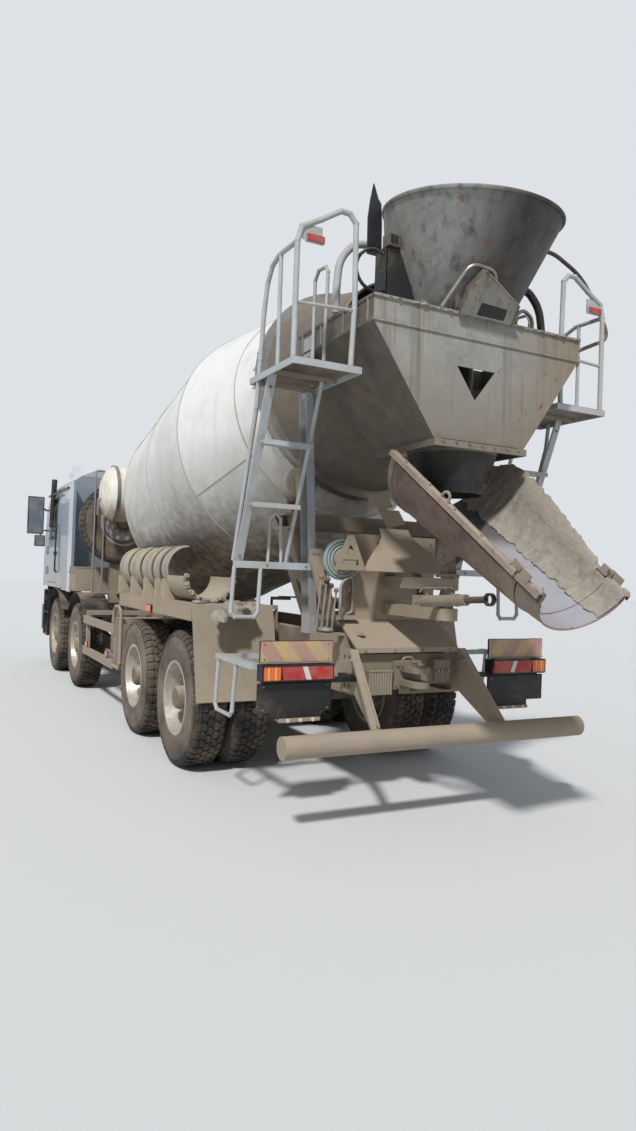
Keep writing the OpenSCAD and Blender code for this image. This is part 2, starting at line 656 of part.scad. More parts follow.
module hopper() truck() color([0.58, 0.54, 0.47]) {
    difference() {
        hopper_solid(0);
        hopper_solid(plate_t);
        drum_clear();
        translate([-hopper_back - 10, 0, 0]) rotate([90, 0, 90]) linear_extrude(40)
            polygon([[200, 2920], [-100, 2920], [55, 2720]]);
    }
    translate([-swivel_back, 0, outlet_z - 220]) rotate_extrude() polygon([[230, 0], [236, 0], [300, 220], [294, 220]]);
    difference() {
        block([-hopper_back - 20, -outlet_half - 20, outlet_z - 30], [-outlet_front, outlet_half + 20, outlet_z + 12]);
        block([-hopper_back + 2, -outlet_half + 2, outlet_z - 31], [-outlet_front + 1, outlet_half - 2, outlet_z + 13]);
    }
}

// Charging funnel: an oblique cone on the hopper's top
funnel_foot_back = 1850;
module funnel_solid(t) hull() {
    translate([-funnel_foot_back, 0, hopper_top + 20 - t]) cylinder(h = 1, r = funnel_foot_r - t, $fn = 40);
    translate([-funnel_back, 0, funnel_top + t]) rotate([0, -funnel_tilt, 0]) cylinder(h = 1, r = funnel_r - t, $fn = 40);
}
module funnel() truck() color([0.50, 0.48, 0.45]) {
    difference() { funnel_solid(0); funnel_solid(plate_t); }
    for (x = [-funnel_foot_back - 260, -funnel_foot_back + 200])
        block([x, -hopper_half + 8.3, hopper_top - 60], [x + 60, hopper_half - 8.3, hopper_top + 10]);
    both_sides() for (x = [-funnel_foot_back - 260, -funnel_foot_back + 200]) difference() {
        block([x, 230, hopper_top + 9], [x + 60, 380, hopper_top + 90]);
        funnel_solid(4);
    }
    difference() {
        translate([-hopper_back + 8.3, 0, 0]) rotate([90, 0, 90]) linear_extrude(14) difference() {
            polygon([[215, hopper_top - 40], [215, hopper_top + 137], [152, hopper_top + 232], [-188, hopper_top + 105],
                [-195, hopper_top - 40]]);
            polygon([[88, hopper_top + 12], [84, hopper_top + 87], [-111, hopper_top + 79], [-115, hopper_top + 12]]);
        }
        funnel_solid(4);
    }
    difference() {
        block([-funnel_foot_back - 190, 380, hopper_top + 20], [-funnel_foot_back - 60, 600, hopper_top + 400]);
        funnel_solid(4);
    }
    block([-funnel_foot_back - 180, 560, hopper_top - 60], [-funnel_foot_back - 70, 590, hopper_top + 21]);
}

// Ladders with their platforms and hoops, left and right
ladder_in = hopper_half + 36;
ladder_out = side_half - 40;
platform_z = hopper_top - 400;
step_z = 1622;
hoop_x = 190 - hopper_back;
function ladder_x(z) = -1250 - 0.39 * (z - 1680);
module ladder() {
    y = ladder_out + 32;
    z = platform_z;
    hull() for (t = [step_z + 10, z - 10])
        block([ladder_x(t) - 7, ladder_out - 28, t], [ladder_x(t) + 7, ladder_out + 28, t + 6]);
    bar([ladder_x(step_z + 10), ladder_in, step_z + 10], [ladder_x(z - 10), ladder_in, z - 10], 14);
    for (t = [step_z + 420, step_z + 810]) block([ladder_x(t) - 60, ladder_in, t - 8], [ladder_x(t) + 60, ladder_out, t + 12]);
    block([-1264, 613, step_z], [-1244.2, ladder_out + 40, step_z + 48]);
    pipe([[-1253, y, step_z + 10], [-1253, y + 14, step_z - 300], [-1253, y - 14, step_z - 332],
        [-1253, y - 156, step_z - 332], [-1253, y - 180, step_z - 300], [-1253, y - 192, step_z + 10]], 14);
    pipe([[-1253, 990, step_z + 40], [-1253, 978, step_z + 350], [-1253, 940, step_z + 386],
        [-1253, 902, step_z + 350], [-1253, 890, step_z + 40]], 11);
    difference() {
        block([hoop_x - 35, hopper_half - 24, z - 40], [post_rear(z) - 8, ladder_out + 50, z]);
        block([hoop_x - 27, hopper_half - 16, z - 41], [post_rear(z) - 16, ladder_out + 42, z - 5]);
    }
    block([-1500, hopper_half + 6, z - 80], [post_rear(z - 39) - 2, hopper_half + 46, z - 39]);
    pipe([[hoop_x, y, z - 10], [hoop_x, y, z + 680], [hoop_x, y - 27, z + 770], [hoop_x, y - 152, z + 840],
        [hoop_x, y - 282, z + 922], [hoop_x, y - 342, z + 920], [hoop_x, y - 387, z + 870],
        [hoop_x, y - 396, z + 350], [hoop_x, y - 382, z - 10]], 17);
    bar([hoop_x, y, z + 325], [hoop_x, y - 396, z + 345], 11);
    pipe([[-1227, y, step_z + 52], [-1540, y, z - 200], [-1575, y, z + 100], [-1610, y, z + 400], [-1650, y, z + 560],
        [-1715, y, z + 650], [-1819, y, z + 685], [hoop_x, y, z + 680]], 15);
    bar([-1848, y, z - 10], [-1845, y, z + 680], 13);
    pipe([[-1553, ladder_in, z - 10], [-1551, ladder_in, z + 690], [-1600, ladder_in, z + 742],
        [-1700, ladder_in, z + 734], [-1732, ladder_in, z + 690], [-1710, ladder_in, z - 10]], 12);
    block([hoop_x - 4, y - 160, z + 700], [hoop_x + 4, y - 30, z + 790]);
    block([hoop_x - 26, y - 164, z + 685], [hoop_x - 3, y - 47, z + 728]);
    block([-board_x + 40.3, ladder_out - 48, 975], [-900, ladder_out + 14, 1010]);
    block([-1000, rail_half, 975], [-950, ladder_out - 47, 1010]);
    pipe([[-935, ladder_out, 985], [-895, ladder_out, 650], [-930, ladder_out, 616], [-1180, ladder_out, 616],
        [-1222, ladder_out, 650], [-1270, ladder_out, 985]], 14);
}
module ladders() truck() color([0.62, 0.66, 0.68]) both_sides() ladder();

// Water tank across the frame behind the cab
module water_tank() truck() color([0.85, 0.83, 0.78]) {
    x = axle1_x - tank_back;
    translate([x, tank_y - tank_len / 2, tank_z]) rotate([-90, 0, 0]) rotate_extrude() polygon([[0, 0], [0.51 * tank_r, 20],
        [0.83 * tank_r, 70], [tank_r, 150], [tank_r, tank_len - 150], [0.83 * tank_r, tank_len - 70],
        [0.51 * tank_r, tank_len - 20], [0, tank_len]]);
    both_sides() {
        block([x - 50, rail_half - 60, sub_top - 110], [x + 50, rail_half, tank_z - 320]);
        difference() {
            translate([x, rail_half - 60, tank_z]) rotate([-90, 0, 0]) cylinder(h = 60, r = tank_r + 6);
            translate([x, rail_half - 61, tank_z]) rotate([-90, 0, 0]) cylinder(h = 62, r = tank_r - 1);
        }
    }
}

// Spare wheel upright behind the cab, with its carrier and a bent pipe beside it
module spare_wheel() truck() color([0.20, 0.20, 0.20]) {
    x = axle1_x - spare_back;
    translate([x, 700, spare_z]) rotate([0, -90, 0]) tyre_and_rim();
    block([x - 50, 560, rail_top + 40], [x + 50, 840, spare_z - tyre_r + 10]);
    block([x - 50, rail_half - 60, rail_top], [x + 50, 840, rail_top + 50]);
    pipe([[x - 174, 973, rail_top + 210], [x - 174, 973, spare_z + 640], [x - 174, 990, spare_z + 660],
        [x - 174, 1075, spare_z + 660], [x - 174, 1092, spare_z + 640], [x - 174, 1092, rail_top + 210]], 12);
    block([x - 190, 700, rail_top + 180], [x - 160, 1110, rail_top + 211]);
    block([x - 161, 700, rail_top + 180], [x - 49, 760, rail_top + 210]);
}

// Spare troughs on edge with their bands and saddles, and a caked trough behind them, on the left mudguard
stored_y = side_half - stored_r - 25;
stored_z = guard_top + 70 + stored_r;
module stored_chutes() truck() color([0.60, 0.53, 0.44]) {
    translate([stored_x, stored_y, stored_z]) rotate([0, 90, 0]) difference() {
        union() {
            cylinder(h = stored_len, r = stored_r);
            for (x = [30, 250, 640, 1130, 1640]) translate([0, 0, x]) cylinder(h = 40, r = stored_r + 7);
        }
        translate([0, 0, -1]) cylinder(h = stored_len + 2, r = stored_r - 10);
        translate([-stored_r - 20, -stored_r - 20, -1]) cube([2 * stored_r + 40, stored_r + 20, stored_len + 2]);
    }
    for (x = [30, 250, 640, 1130, 1640]) difference() {
        block([stored_x + x, stored_y + 20, guard_top + 0.3], [stored_x + x + 40, side_half - 8, stored_z - 90]);
        translate([stored_x, stored_y, stored_z]) rotate([0, 90, 0]) cylinder(h = stored_len, r = stored_r - 3);
    }
    for (x = [30, 1640]) block([stored_x + x, stored_y - 330, guard_top + 0.3], [stored_x + x + 40, stored_y + 30, guard_top + 30]);
    translate([stored_x - 520, stored_y - 15, guard_top + 0.3 + stored_r + 12]) rotate([0, 90, 0]) difference() {
        cylinder(h = 519, r = stored_r + 12);
        translate([0, 0, -1]) cylinder(h = 521, r = stored_r - 14);
        translate([-stored_r - 20, -stored_r - 20, -1]) cube([stored_r + 20, 2 * stored_r + 40, 521]);
    }
}

// Coiled wash hose on its holder
module wash_hose() truck() color([0.55, 0.62, 0.62]) translate([holder_x - 50, holder_y, holder_z]) rotate([0, 90, 0])
    rotate_extrude() translate([hub_r + 34.3, 0]) circle(r = 34);

// Chute pivot: post in its two sleeves, head for the trough's tilt pin, foot of the cylinder
tilt_pin_z = 1740;
tilt_pin_r = 25;
lift_y = 300;
foot_z = 1450;
foot_x = -60;
eye_x = -662;
eye_z = 1487;
lug_t = 14;
side_gap = 5;
module at_swivel() truck() translate([-swivel_back, 0, 0]) rotate([0, 0, chute_swing]) children();
module cross_pin(x, z, y0, y1, r) translate([x, y0, z]) rotate([-90, 0, 0]) cylinder(h = y1 - y0, r = r);
module chute_pivot() at_swivel() color([0.50, 0.45, 0.38]) {
    translate([0, 0, sleeve_low - 30]) cylinder(h = sleeve_high + sleeve_h - sleeve_low + 35, r = swivel_pin_r);
    translate([0, 0, sleeve_high + sleeve_h + 5]) cylinder(h = 25, r = 80);
    block([-40, -35, sleeve_high + sleeve_h + 5], [40, 35, tilt_pin_z]);
    cross_pin(0, tilt_pin_z, -35, 35, 45);
    cross_pin(0, tilt_pin_z, -35 - side_gap - lug_t - 6, 35 + side_gap + lug_t + 6, tilt_pin_r);
    block([-30, 0, foot_z - 35], [30, lift_y - 40, foot_z + 35]);
    block([foot_x - 30, lift_y - 45, foot_z - 35], [30, lift_y - 25, foot_z + 35]);
    cross_pin(foot_x, foot_z, lift_y - 45, lift_y + 26, 14);
}
module trough_shell(r1, r2, from, to, t) difference() {
    translate([from, 0, 0]) rotate([0, 90, 0]) cylinder(h = to - from, r1 = r1, r2 = r2, $fn = 64);
    translate([from - 0.01, 0, 0]) rotate([0, 90, 0]) cylinder(h = to - from + 0.02, r1 = r1 - t, r2 = r2 - t, $fn = 64);
    translate([from - 1, -r1 - 1, 0]) cube([to - from + 2, 2 * r1 + 2, r1 + 2]);
}
// Channel along the rim of a trough, open outwards
rim_w = 45;
rim_h = 70;
module rim_channel(r1, r2, from, to) both_sides() hull_pair(r1, r2, from, to);
module hull_pair(r1, r2, from, to) {
    run = to - from;
    lean = atan((r1 - r2) / run);
    translate([from, r1 - trough_t, 0]) rotate([0, 0, -lean]) {
        block([0, 0, -rim_h], [run / cos(lean), rim_w, -rim_h + 8]);
        block([0, 0, -8], [run / cos(lean), rim_w, 0]);
        block([0, 0, -rim_h], [run / cos(lean), 8, 0]);
    }
}
fold_s = trough_len;
fold_n = trough_rise + 26;
fold_pin_r = 9;
ear_top = 18;
pin_s = (tilt_z - tilt_pin_z) * sin(chute_slope);
pin_n = -(tilt_z - tilt_pin_z) * cos(chute_slope);
eye_s = -eye_x * cos(chute_slope) + (tilt_z - eye_z) * sin(chute_slope);
eye_n = -eye_x * sin(chute_slope) - (tilt_z - eye_z) * cos(chute_slope);
module chute() truck() color([0.50, 0.40, 0.33]) {
    on_chute() translate([0, 0, trough_rise]) {
        trough_shell(trough_r1, trough_r2, -trough_up, trough_len - 6, trough_t);
        rim_channel(trough_r1, trough_r2, -trough_up, trough_len - 6);
    }
    on_chute() both_sides() difference() {
        union() {
            block([fold_s - 70, trough_r2 + 8, trough_rise - 1], [fold_s - 8, trough_r2 + 22, fold_n + ear_top]);
            translate([fold_s, trough_r2 + 8, fold_n]) rotate([-90, 0, 0]) cylinder(h = 14, r = 20);
        }
        translate([fold_s, trough_r2, fold_n]) rotate([-90, 0, 0]) cylinder(h = 60, r = fold_pin_r + run_fit);
    }
    on_chute() {
        for (y = [-35 - side_gap - lug_t, 35 + side_gap]) difference() {
            below_trough(y, lug_t, [[pin_s - 45, pin_n - 40], [pin_s + 45, pin_n - 40], [pin_s + 110, -100], [pin_s - 110, -100]]);
            translate([pin_s, y - 1, pin_n]) rotate([-90, 0, 0]) cylinder(h = lug_t + 2, r = tilt_pin_r + run_fit);
        }
        for (y = [lift_y - 14 - side_gap - 10, lift_y + 14 + side_gap])
            below_trough(y, 10, [[eye_s - 25, eye_n - 25], [eye_s + 25, eye_n - 25], [eye_s + 60, 0], [eye_s - 60, 0]]);
        translate([eye_s, lift_y - 24, eye_n]) rotate([-90, 0, 0]) cylinder(h = 48, r = 10);
    }
}
// Plate under the trough, from y to y + w, with its outline in the trough's own plane
module below_trough(y, w, outline) difference() {
    translate([0, y + w, 0]) rotate([90, 0, 0]) linear_extrude(w) polygon(outline);
    translate([-trough_up, 0, trough_rise]) rotate([0, 90, 0])
        cylinder(h = trough_len + trough_up, r1 = trough_r1 - trough_t / 2, r2 = trough_r2 - trough_t / 2, $fn = 64);
}
module chute_end() truck() color([0.50, 0.42, 0.36]) on_chute() {
    translate([0, 0, trough_rise]) {
        trough_shell(trough_r2, trough_r2 - 30, trough_len + 6, trough_len + tail_len, trough_t);
        rim_channel(trough_r2, trough_r2 - 30, trough_len + 6, trough_len + tail_len);
    }
    both_sides() {
        block([fold_s + 8, trough_r2 + 24, trough_rise - 1], [fold_s + 90, trough_r2 + 34, fold_n + ear_top]);
        translate([fold_s, trough_r2 + 24, fold_n]) rotate([-90, 0, 0]) cylinder(h = 10, r = 20);
        translate([fold_s, trough_r2 + 3, fold_n]) rotate([-90, 0, 0]) cylinder(h = 30, r = fold_pin_r);
    }
}
lift_angle = atan2(eye_z - foot_z, foot_x - eye_x);
lift_len = norm([eye_x - foot_x, eye_z - foot_z]);
tube_len = 420;
module on_lift() at_swivel() translate([foot_x, lift_y, foot_z]) rotate([0, lift_angle, 0]) mirror([1, 0, 0]) children();
module lift_cylinder() color([0.55, 0.50, 0.42]) on_lift() difference() {
    union() {
        cross_pin(0, 0, -18, 18, 34);
        translate([54, 0, 0]) rotate([0, 90, 0]) cylinder(h = tube_len - 54, r = 34);
        block([0, -18, -20], [60, 18, 20]);
    }
    cross_pin(0, 0, -30, 30, 14 + run_fit);
    translate([60, 0, 0]) rotate([0, 90, 0]) cylinder(h = tube_len, r = 20 + run_fit);
}
module lift_rod() color([0.15, 0.15, 0.15]) on_lift() {
    translate([120, 0, 0]) rotate([0, 90, 0]) cylinder(h = lift_len - 120 - 28, r = 20);
    difference() {
        translate([lift_len, 0, 0]) cross_pin(0, 0, -14, 14, 38);
        translate([lift_len, 0, 0]) cross_pin(0, 0, -15, 15, 27);
    }
}

// Tyre section, turned about the wheel's axis
module tyre() rotate_extrude($fn = 96) {
    w = tyre_w / 2;
    polygon([[rim_r, -w + 30], [rim_r + 40, -w + 8], [rim_r + 110, -w], [rim_r + 180, -w + 4],
        [tyre_r - 30, -w + 14], [tyre_r - 6, -w + 34], [tyre_r, -w + 60], [tyre_r, w - 60],
        [tyre_r - 6, w - 34], [tyre_r - 30, w - 14], [rim_r + 180, w - 4], [rim_r + 110, w],
        [rim_r + 40, w - 8], [rim_r, w - 30]]);
}

// Rim with its disc: dish is the disc's place, from the wheel's middle outwards
module rim(dish, hub_out, hub_in, bore) {
    w = tyre_w / 2;
    rotate_extrude($fn = 96) polygon([[rim_r + 1, -w + 36], [rim_r + 19, -w + 20], [rim_r + 19, -w + 12],
        [rim_r - 10, -w + 12], [rim_r - 16, -w + 60], [rim_r - 60, -20], [rim_r - 60, dish - 12], [170, dish - 12],
        [150, hub_in], [bore, hub_in], [bore, hub_out - 30], [0, hub_out - 30], [0, hub_out], [90, hub_out],
        [105, hub_out - 20], [120, dish + 2], [rim_r - 70, dish + 2], [rim_r - 50, dish - 6], [rim_r - 14, w - 60],
        [rim_r - 8, w - 12], [rim_r + 19, w - 12], [rim_r + 19, w - 20], [rim_r + 1, w - 36]]);
}
module tyre_and_rim() { tyre(); rim(60, 110, -20, 0.01); }
module at_wheel(x, side) on_side(side) translate([x, wheel_y, tyre_r]) rotate([-90, 0, 0]) children();
module steer_wheel(x, side) truck() color([0.18, 0.18, 0.18]) at_wheel(x, side) {
    tyre();
    rim(70, 135, -60, spindle_r + run_fit);
}
module twin_wheels(x, side) truck() color([0.18, 0.18, 0.18]) at_wheel(x, side) {
    tyre();
    rim(-30, 130, -240, drive_end_r + run_fit);
    translate([0, 0, -twin_gap]) {
        tyre();
        mirror([0, 0, 1]) rotate_extrude($fn = 96) polygon([[rim_r + 1, -112], [rim_r + 19, -128], [rim_r + 19, -136],
            [rim_r - 12, -136], [rim_r - 18, -90], [180, -twin_gap / 2], [150, -230], [150, -210], [rim_r - 30, -60],
            [rim_r - 12, 88], [rim_r - 8, 136], [rim_r + 19, 136], [rim_r + 19, 128], [rim_r + 1, 112]]);
    }
}
module wheel_1_left() steer_wheel(axle1_x, 1);
module wheel_1_right() steer_wheel(axle1_x, -1);
module wheel_2_left() steer_wheel(axle2_x, 1);
module wheel_2_right() steer_wheel(axle2_x, -1);
module wheels_3_left() twin_wheels(axle3_x, 1);
module wheels_3_right() twin_wheels(axle3_x, -1);
module wheels_4_left() twin_wheels(0, 1);
module wheels_4_right() twin_wheels(0, -1);

// Knuckle: fork on the kingpin, spindle into the wheel, steering arm
fork_gap = 5;
fork_t = 48;
module knuckle(x, side) truck() color([0.40, 0.38, 0.35]) on_side(side) translate([x, 0, tyre_r]) {
    difference() {
        union() {
            for (z = [eye_h / 2 + fork_gap, -eye_h / 2 - fork_gap - fork_t]) {
                translate([0, kingpin_y, z]) cylinder(h = fork_t, r = 50);
                block([-45, kingpin_y, z], [45, kingpin_y + 92, z + fork_t]);
            }
            block([-45, kingpin_y + 60, -eye_h / 2 - fork_gap - fork_t], [45, kingpin_y + 92, eye_h / 2 + fork_gap + fork_t]);
            block([-200, kingpin_y - 20, -eye_h / 2 - fork_gap - fork_t], [-40, kingpin_y + 20, -eye_h / 2 - fork_gap - 20]);
        }
        translate([0, kingpin_y, -120]) cylinder(h = 240, r = kingpin_r + run_fit);
    }
    translate([0, kingpin_y + 90, 0]) rotate([-90, 0, 0]) cylinder(h = wheel_y + 95 - kingpin_y - 90, r = spindle_r);
}
module knuckle_1_left() knuckle(axle1_x, 1);
module knuckle_1_right() knuckle(axle1_x, -1);
module knuckle_2_left() knuckle(axle2_x, 1);
module knuckle_2_right() knuckle(axle2_x, -1);

// Cab, drawn from the foremost axle
cab_pivot_x = axle1_x + 1220;
cab_pivot_z = 1125;
cab_pin_r = 25;
module at_cab() truck() translate([axle1_x, 0, 0]) children();
module cab_side(t) polygon([[-cab_back + t, cab_low + t], [-cab_back + t, cab_edge + 60 - t], [-cab_back + 90 + t * 0.6, cab_high - 20 - t],
    [cab_nose - 620, cab_high - t], [cab_nose - 390 - t * 0.4, cab_high - 70 - t], [cab_nose - 250 - t, cab_edge - 90 - t * 0.3],
    [cab_nose - 40 - t, 1930], [cab_nose - t, 1600], [cab_nose - t, cab_low + t]]);
module cab_face(t) polygon([[-cab_half + t, cab_low - 1], [-cab_half + t, 2500], [-cab_half + 70 + t, cab_edge - 30],
    [-cab_half + 170 + t, cab_edge + 60 - t * 0.6], [-cab_half + 420, cab_high + 1 - t], [cab_half - 420, cab_high + 1 - t],
    [cab_half - 170 - t, cab_edge + 60 - t * 0.6], [cab_half - 70 - t, cab_edge - 30], [cab_half - t, 2500], [cab_half - t, cab_low - 1]]);
module cab_solid(t) intersection() {
    translate([0, cab_half + 1, 0]) rotate([90, 0, 0]) linear_extrude(2 * cab_half + 2) cab_side(t);
    translate([-cab_back - 1, 0, 0]) rotate([90, 0, 90]) linear_extrude(cab_back + cab_nose + 2) cab_face(t);
}
module cab_skin(outer, inner) difference() { cab_solid(outer); cab_solid(inner); }
door_low = cab_low + cab_t + 15;
door_high = 2720;
// Prism of a door on the left, grown by g
module door_prism(g) translate([0, cab_half + 20, 0]) rotate([90, 0, 0]) linear_extrude(200)
    polygon([[door_rear - g, door_low - g], [door_rear - g, door_high + g], [door_front - 150 + g, door_high + g],
        [door_front + g, 1960], [door_front + g, door_low - g]]);
// Prism of a door's window, shrunk by g
module window_prism(g) translate([0, cab_half + 30, 0]) rotate([90, 0, 0]) linear_extrude(220)
    polygon([[door_rear + 80 + g, 1990 + g], [door_rear + 80 + g, door_high - 80 - g], [door_front - 215 - g, door_high - 80 - g],
        [door_front - 75 - g, 1990 + g]]);
module screen_prism(g) translate([cab_nose - 500, 0, 0]) rotate([90, 0, 90]) linear_extrude(600)
    polygon([[150 - cab_half + g, 1960 + g], [210 - cab_half + g, cab_edge - 120 - g],
        [cab_half - 210 - g, cab_edge - 120 - g], [cab_half - 150 - g, 1960 + g]]);
module cab_shell() at_cab() color([0.60, 0.66, 0.72]) {
    difference() {
        cab_skin(0, cab_t);
        both_sides() door_prism(door_gap);
        screen_prism(0);
    }
    both_sides() {
        hinge_pins();
        block([-cab_back - 350, cab_half - 45, cab_low - 30], [-cab_back + 1, cab_half - 8, cab_edge - 50]);
        block([-cab_back - 60, 300, cab_low], [-cab_back + 10, 380, cab_low + 60]);
        difference() {
            block([cab_pivot_x - axle1_x - 50, 300, cab_pivot_z - 40], [cab_pivot_x - axle1_x + 50, 330, cab_low + 1]);
            translate([cab_pivot_x - axle1_x, 290, cab_pivot_z]) rotate([-90, 0, 0]) cylinder(h = 50, r = cab_pin_r + run_fit);
        }
    }
}
module cab_mounts() both_sides() {
    block([cab_pivot_x - 60, 345, rail_top - 1], [cab_pivot_x + 60, rail_half, cab_pivot_z + 45]);
    translate([cab_pivot_x, 290, cab_pivot_z]) rotate([-90, 0, 0]) cylinder(h = 80, r = cab_pin_r);
    block([axle1_x - cab_back - 50, 350, rail_top - 1], [axle1_x - cab_back + 50, rail_half, cab_low - 0.3]);
}
module cab_glass() at_cab() color([0.15, 0.20, 0.22, 0.5]) intersection() {
    cab_skin(20, 27);
    screen_prism(0.3);
}
// Door hinges: pins on the cab's pillar, eyes on the door
hinge_x = door_front + 3.5;
hinge_y = cab_half + 14;
hinge_pin_r = 7;
hinge_z = [1480, 1800];
module hinge_pins() for (z = hinge_z) {
    translate([hinge_x, hinge_y, z - 35]) cylinder(h = 120, r = hinge_pin_r);
    for (dz = [-35, 65]) {
        translate([hinge_x, hinge_y, z + dz]) cylinder(h = 20, r = 12);
        block([hinge_x, cab_half + 2, z + dz], [hinge_x + 40, hinge_y + 12, z + dz + 20]);
        block([hinge_x + 6, cab_half - 5, z + dz], [hinge_x + 40, cab_half + 3, z + dz + 20]);
    }
}
module hinge_eyes() for (z = hinge_z) difference() {
    union() {
        translate([hinge_x, hinge_y, z - 10]) cylinder(h = 70, r = 13);
        block([hinge_x - 50, cab_half - 5, z - 10], [hinge_x - 4, cab_half + 12, z + 60]);
        block([hinge_x - 20, cab_half + 2, z - 10], [hinge_x, cab_half + 22, z + 60]);
    }
    translate([hinge_x, hinge_y, z - 11]) cylinder(h = 72, r = hinge_pin_r + run_fit);
}
module door(side) at_cab() color([0.60, 0.66, 0.72]) on_side(side) {
    difference() {
        intersection() { cab_skin(0, cab_t); door_prism(0); }
        window_prism(0);
    }
    hinge_eyes();
}
module door_left() door(1);
module door_right() door(-1);
module door_glass(side) at_cab() color([0.15, 0.20, 0.22, 0.5]) on_side(side) intersection() {
    cab_skin(22, 27);
    window_prism(0.3);
}
module door_glass_left() door_glass(1);
module door_glass_right() door_glass(-1);
module cab_interior() at_cab() color([0.25, 0.24, 0.23]) {
    floor_z = cab_low + cab_t + 0.3;
    both_sides() {
        block([260, cab_half - 850, floor_z], [760, cab_half - 350, floor_z + 330]);
        block([220, cab_half - 850, floor_z + 330], [760, cab_half - 350, floor_z + 450]);
        hull() {
            block([220, cab_half - 830, floor_z + 440], [340, cab_half - 370, floor_z + 450]);
            block([120, cab_half - 810, floor_z + 1090], [220, cab_half - 390, floor_z + 1100]);
        }
    }
    block([-cab_back + cab_t + 0.3, 110 - cab_half, floor_z], [-250, cab_half - 110, floor_z + 420]);
    hull() {
        block([cab_nose - 460, 80 - cab_half, floor_z + 560], [cab_nose - 120, cab_half - 80, floor_z + 570]);
        block([cab_nose - 300, 80 - cab_half, floor_z], [cab_nose - 120, cab_half - 80, floor_z + 10]);
    }
    translate([880, cab_half - 600, floor_z + 660]) rotate([0, -65, 0]) rotate_extrude() translate([230, 0]) circle(r = 16);
    translate([880, cab_half - 600, floor_z + 660]) rotate([0, -65, 0]) {
        block([-230, -20, -8], [230, 20, 8]);
        translate([0, 0, -330]) cylinder(h = 330, r = 35);
    }
}
module mirrors() at_cab() color([0.06, 0.06, 0.06]) both_sides() {
    m = cab_half + 70;
    block([1080, m, 2090], [1150, m + 250, 2700]);
    block([1080, m - 30, 1890], [1150, m + 130, 2070]);
    pipe([[1060, cab_half + 0.3, 2480], [1060, cab_half + 40, 2480], [1105, m + 60, 2560]], 14);
    pipe([[1060, cab_half + 0.3, 2150], [1060, cab_half + 40, 2150], [1110, m + 60, 2150], [1110, m + 60, 2230]], 14);
    pipe([[1110, m + 40, 2060], [1110, m + 40, 2160]], 14);
}
module cab_front() at_cab() color([0.12, 0.12, 0.13]) {
    w = cab_half - 80;
    difference() {
        block([cab_nose + 0.3, -w, 1180], [cab_nose + 40, w, 1880]);
        for (z = [1260 : 90 : 1760]) block([cab_nose + 20, -700, z], [cab_nose + 60, 700, z + 45]);
    }
    both_sides() block([cab_nose + 40, w - 350, 1250], [cab_nose + 55, w - 30, 1400]);
    hull() {
        block([cab_nose - 270.6, -w, cab_edge - 60], [cab_nose - 262, w, cab_edge - 50]);
        block([cab_nose - 130, -w + 60, cab_edge - 120], [cab_nose - 124, w - 60, cab_edge - 110]);
    }
}
module front_bumper() truck() color([0.55, 0.60, 0.65]) {
    w = cab_half + 10;
    difference() {
        union() {
            difference() {
                hull() {
                    block([bumper_x - 40, -w + 340, 520], [bumper_x, w - 340, 900]);
                    block([bumper_x - 155, -w, 520], [bumper_x - 150, w, 930]);
                }
                hull() {
                    block([bumper_x - 50, -w + 340, 512], [bumper_x - 8, w - 340, 892]);
                    block([bumper_x - 164, -w + 8, 512], [bumper_x - 154, w - 8, 922]);
                }
            }
            block([bumper_x - 155, -60, 560], [bumper_x - 7, 60, 680]);
            both_sides() block([bumper_x - 155, rail_half - 85, 780], [bumper_x - 7, rail_half, 880]);
        }
        translate([bumper_x - 1000, 0, 620]) rotate([0, 90, 0]) cylinder(h = 1100, r = 22);
    }
}
// Mudguards of the steered wheels
arch_r = 685;
module mudguards() truck() color([0.15, 0.15, 0.16]) {
    w = cab_half + 10;
    for (x = [axle1_x, axle2_x]) both_sides() {
        translate([x, 900, tyre_r]) rotate([-90, 0, 0]) difference() {
            cylinder(h = w - 900, r = arch_r + 6, $fn = 96);
            translate([0, 0, -1]) cylinder(h = w - 898, r = arch_r, $fn = 96);
            translate([-800, -400, -1]) cube([1600, 1200, 400]);
        }
        block([x - 30, rail_half, rail_top - 120], [x + 30, rail_half + 10, tyre_r + arch_r - 2]);
        block([x - 30, rail_half, tyre_r + arch_r - 20], [x + 30, 930, tyre_r + arch_r + 1]);
    }
}
// Step wells under the doors, open at the side, with two treads each
module cab_steps() truck() color([0.15, 0.15, 0.16]) both_sides() {
    w = cab_half + 10;
    x = axle1_x + arch_r + 15;
    difference() {
        block([x, w - 360, 460], [x + 450, w, 1190]);
        for (z = [472, 830]) block([x + 12, w - 300, z], [x + 438, w + 1, z + 346]);
        block([x - 1, w - 361, 1178], [x + 460, w - 200, 1191]);
    }
    block([x + 140, rail_half, 860], [x + 200, w - 359, 940]);
}

frame();
steer_axles();
drive_axles();
powertrain();
side_tanks();
guard_rails();
rear_mudguards();
rear_lamps();
rear_pedestal();
drum_drive();
hopper();
funnel();
ladders();
water_tank();
spare_wheel();
stored_chutes();
wash_hose();
drum();
roller_left();
roller_right();
chute_pivot();
chute();
chute_end();
lift_cylinder();
lift_rod();
cab_shell();
cab_glass();
door_left();
door_right();
door_glass_left();
door_glass_right();
cab_interior();
mirrors();
cab_front();
front_bumper();
mudguards();
knuckle_1_left();
knuckle_1_right();
knuckle_2_left();
knuckle_2_right();
wheel_1_left();
wheel_1_right();
wheel_2_left();
wheel_2_right();
wheels_3_left();
wheels_3_right();
wheels_4_left();
wheels_4_right();
drive_trestle();
rear_beam();
hopper_posts();
rear_deck();
cab_steps();
tool_box();
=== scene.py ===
"""Looks of a four-axle concrete mixer truck, built round its fixed frame.

Sizes in the helpers are millimetres of the chassis frame: x forward from the
rearmost axle, y to the truck's left, z up from the ground.
"""
import json
import math
import random

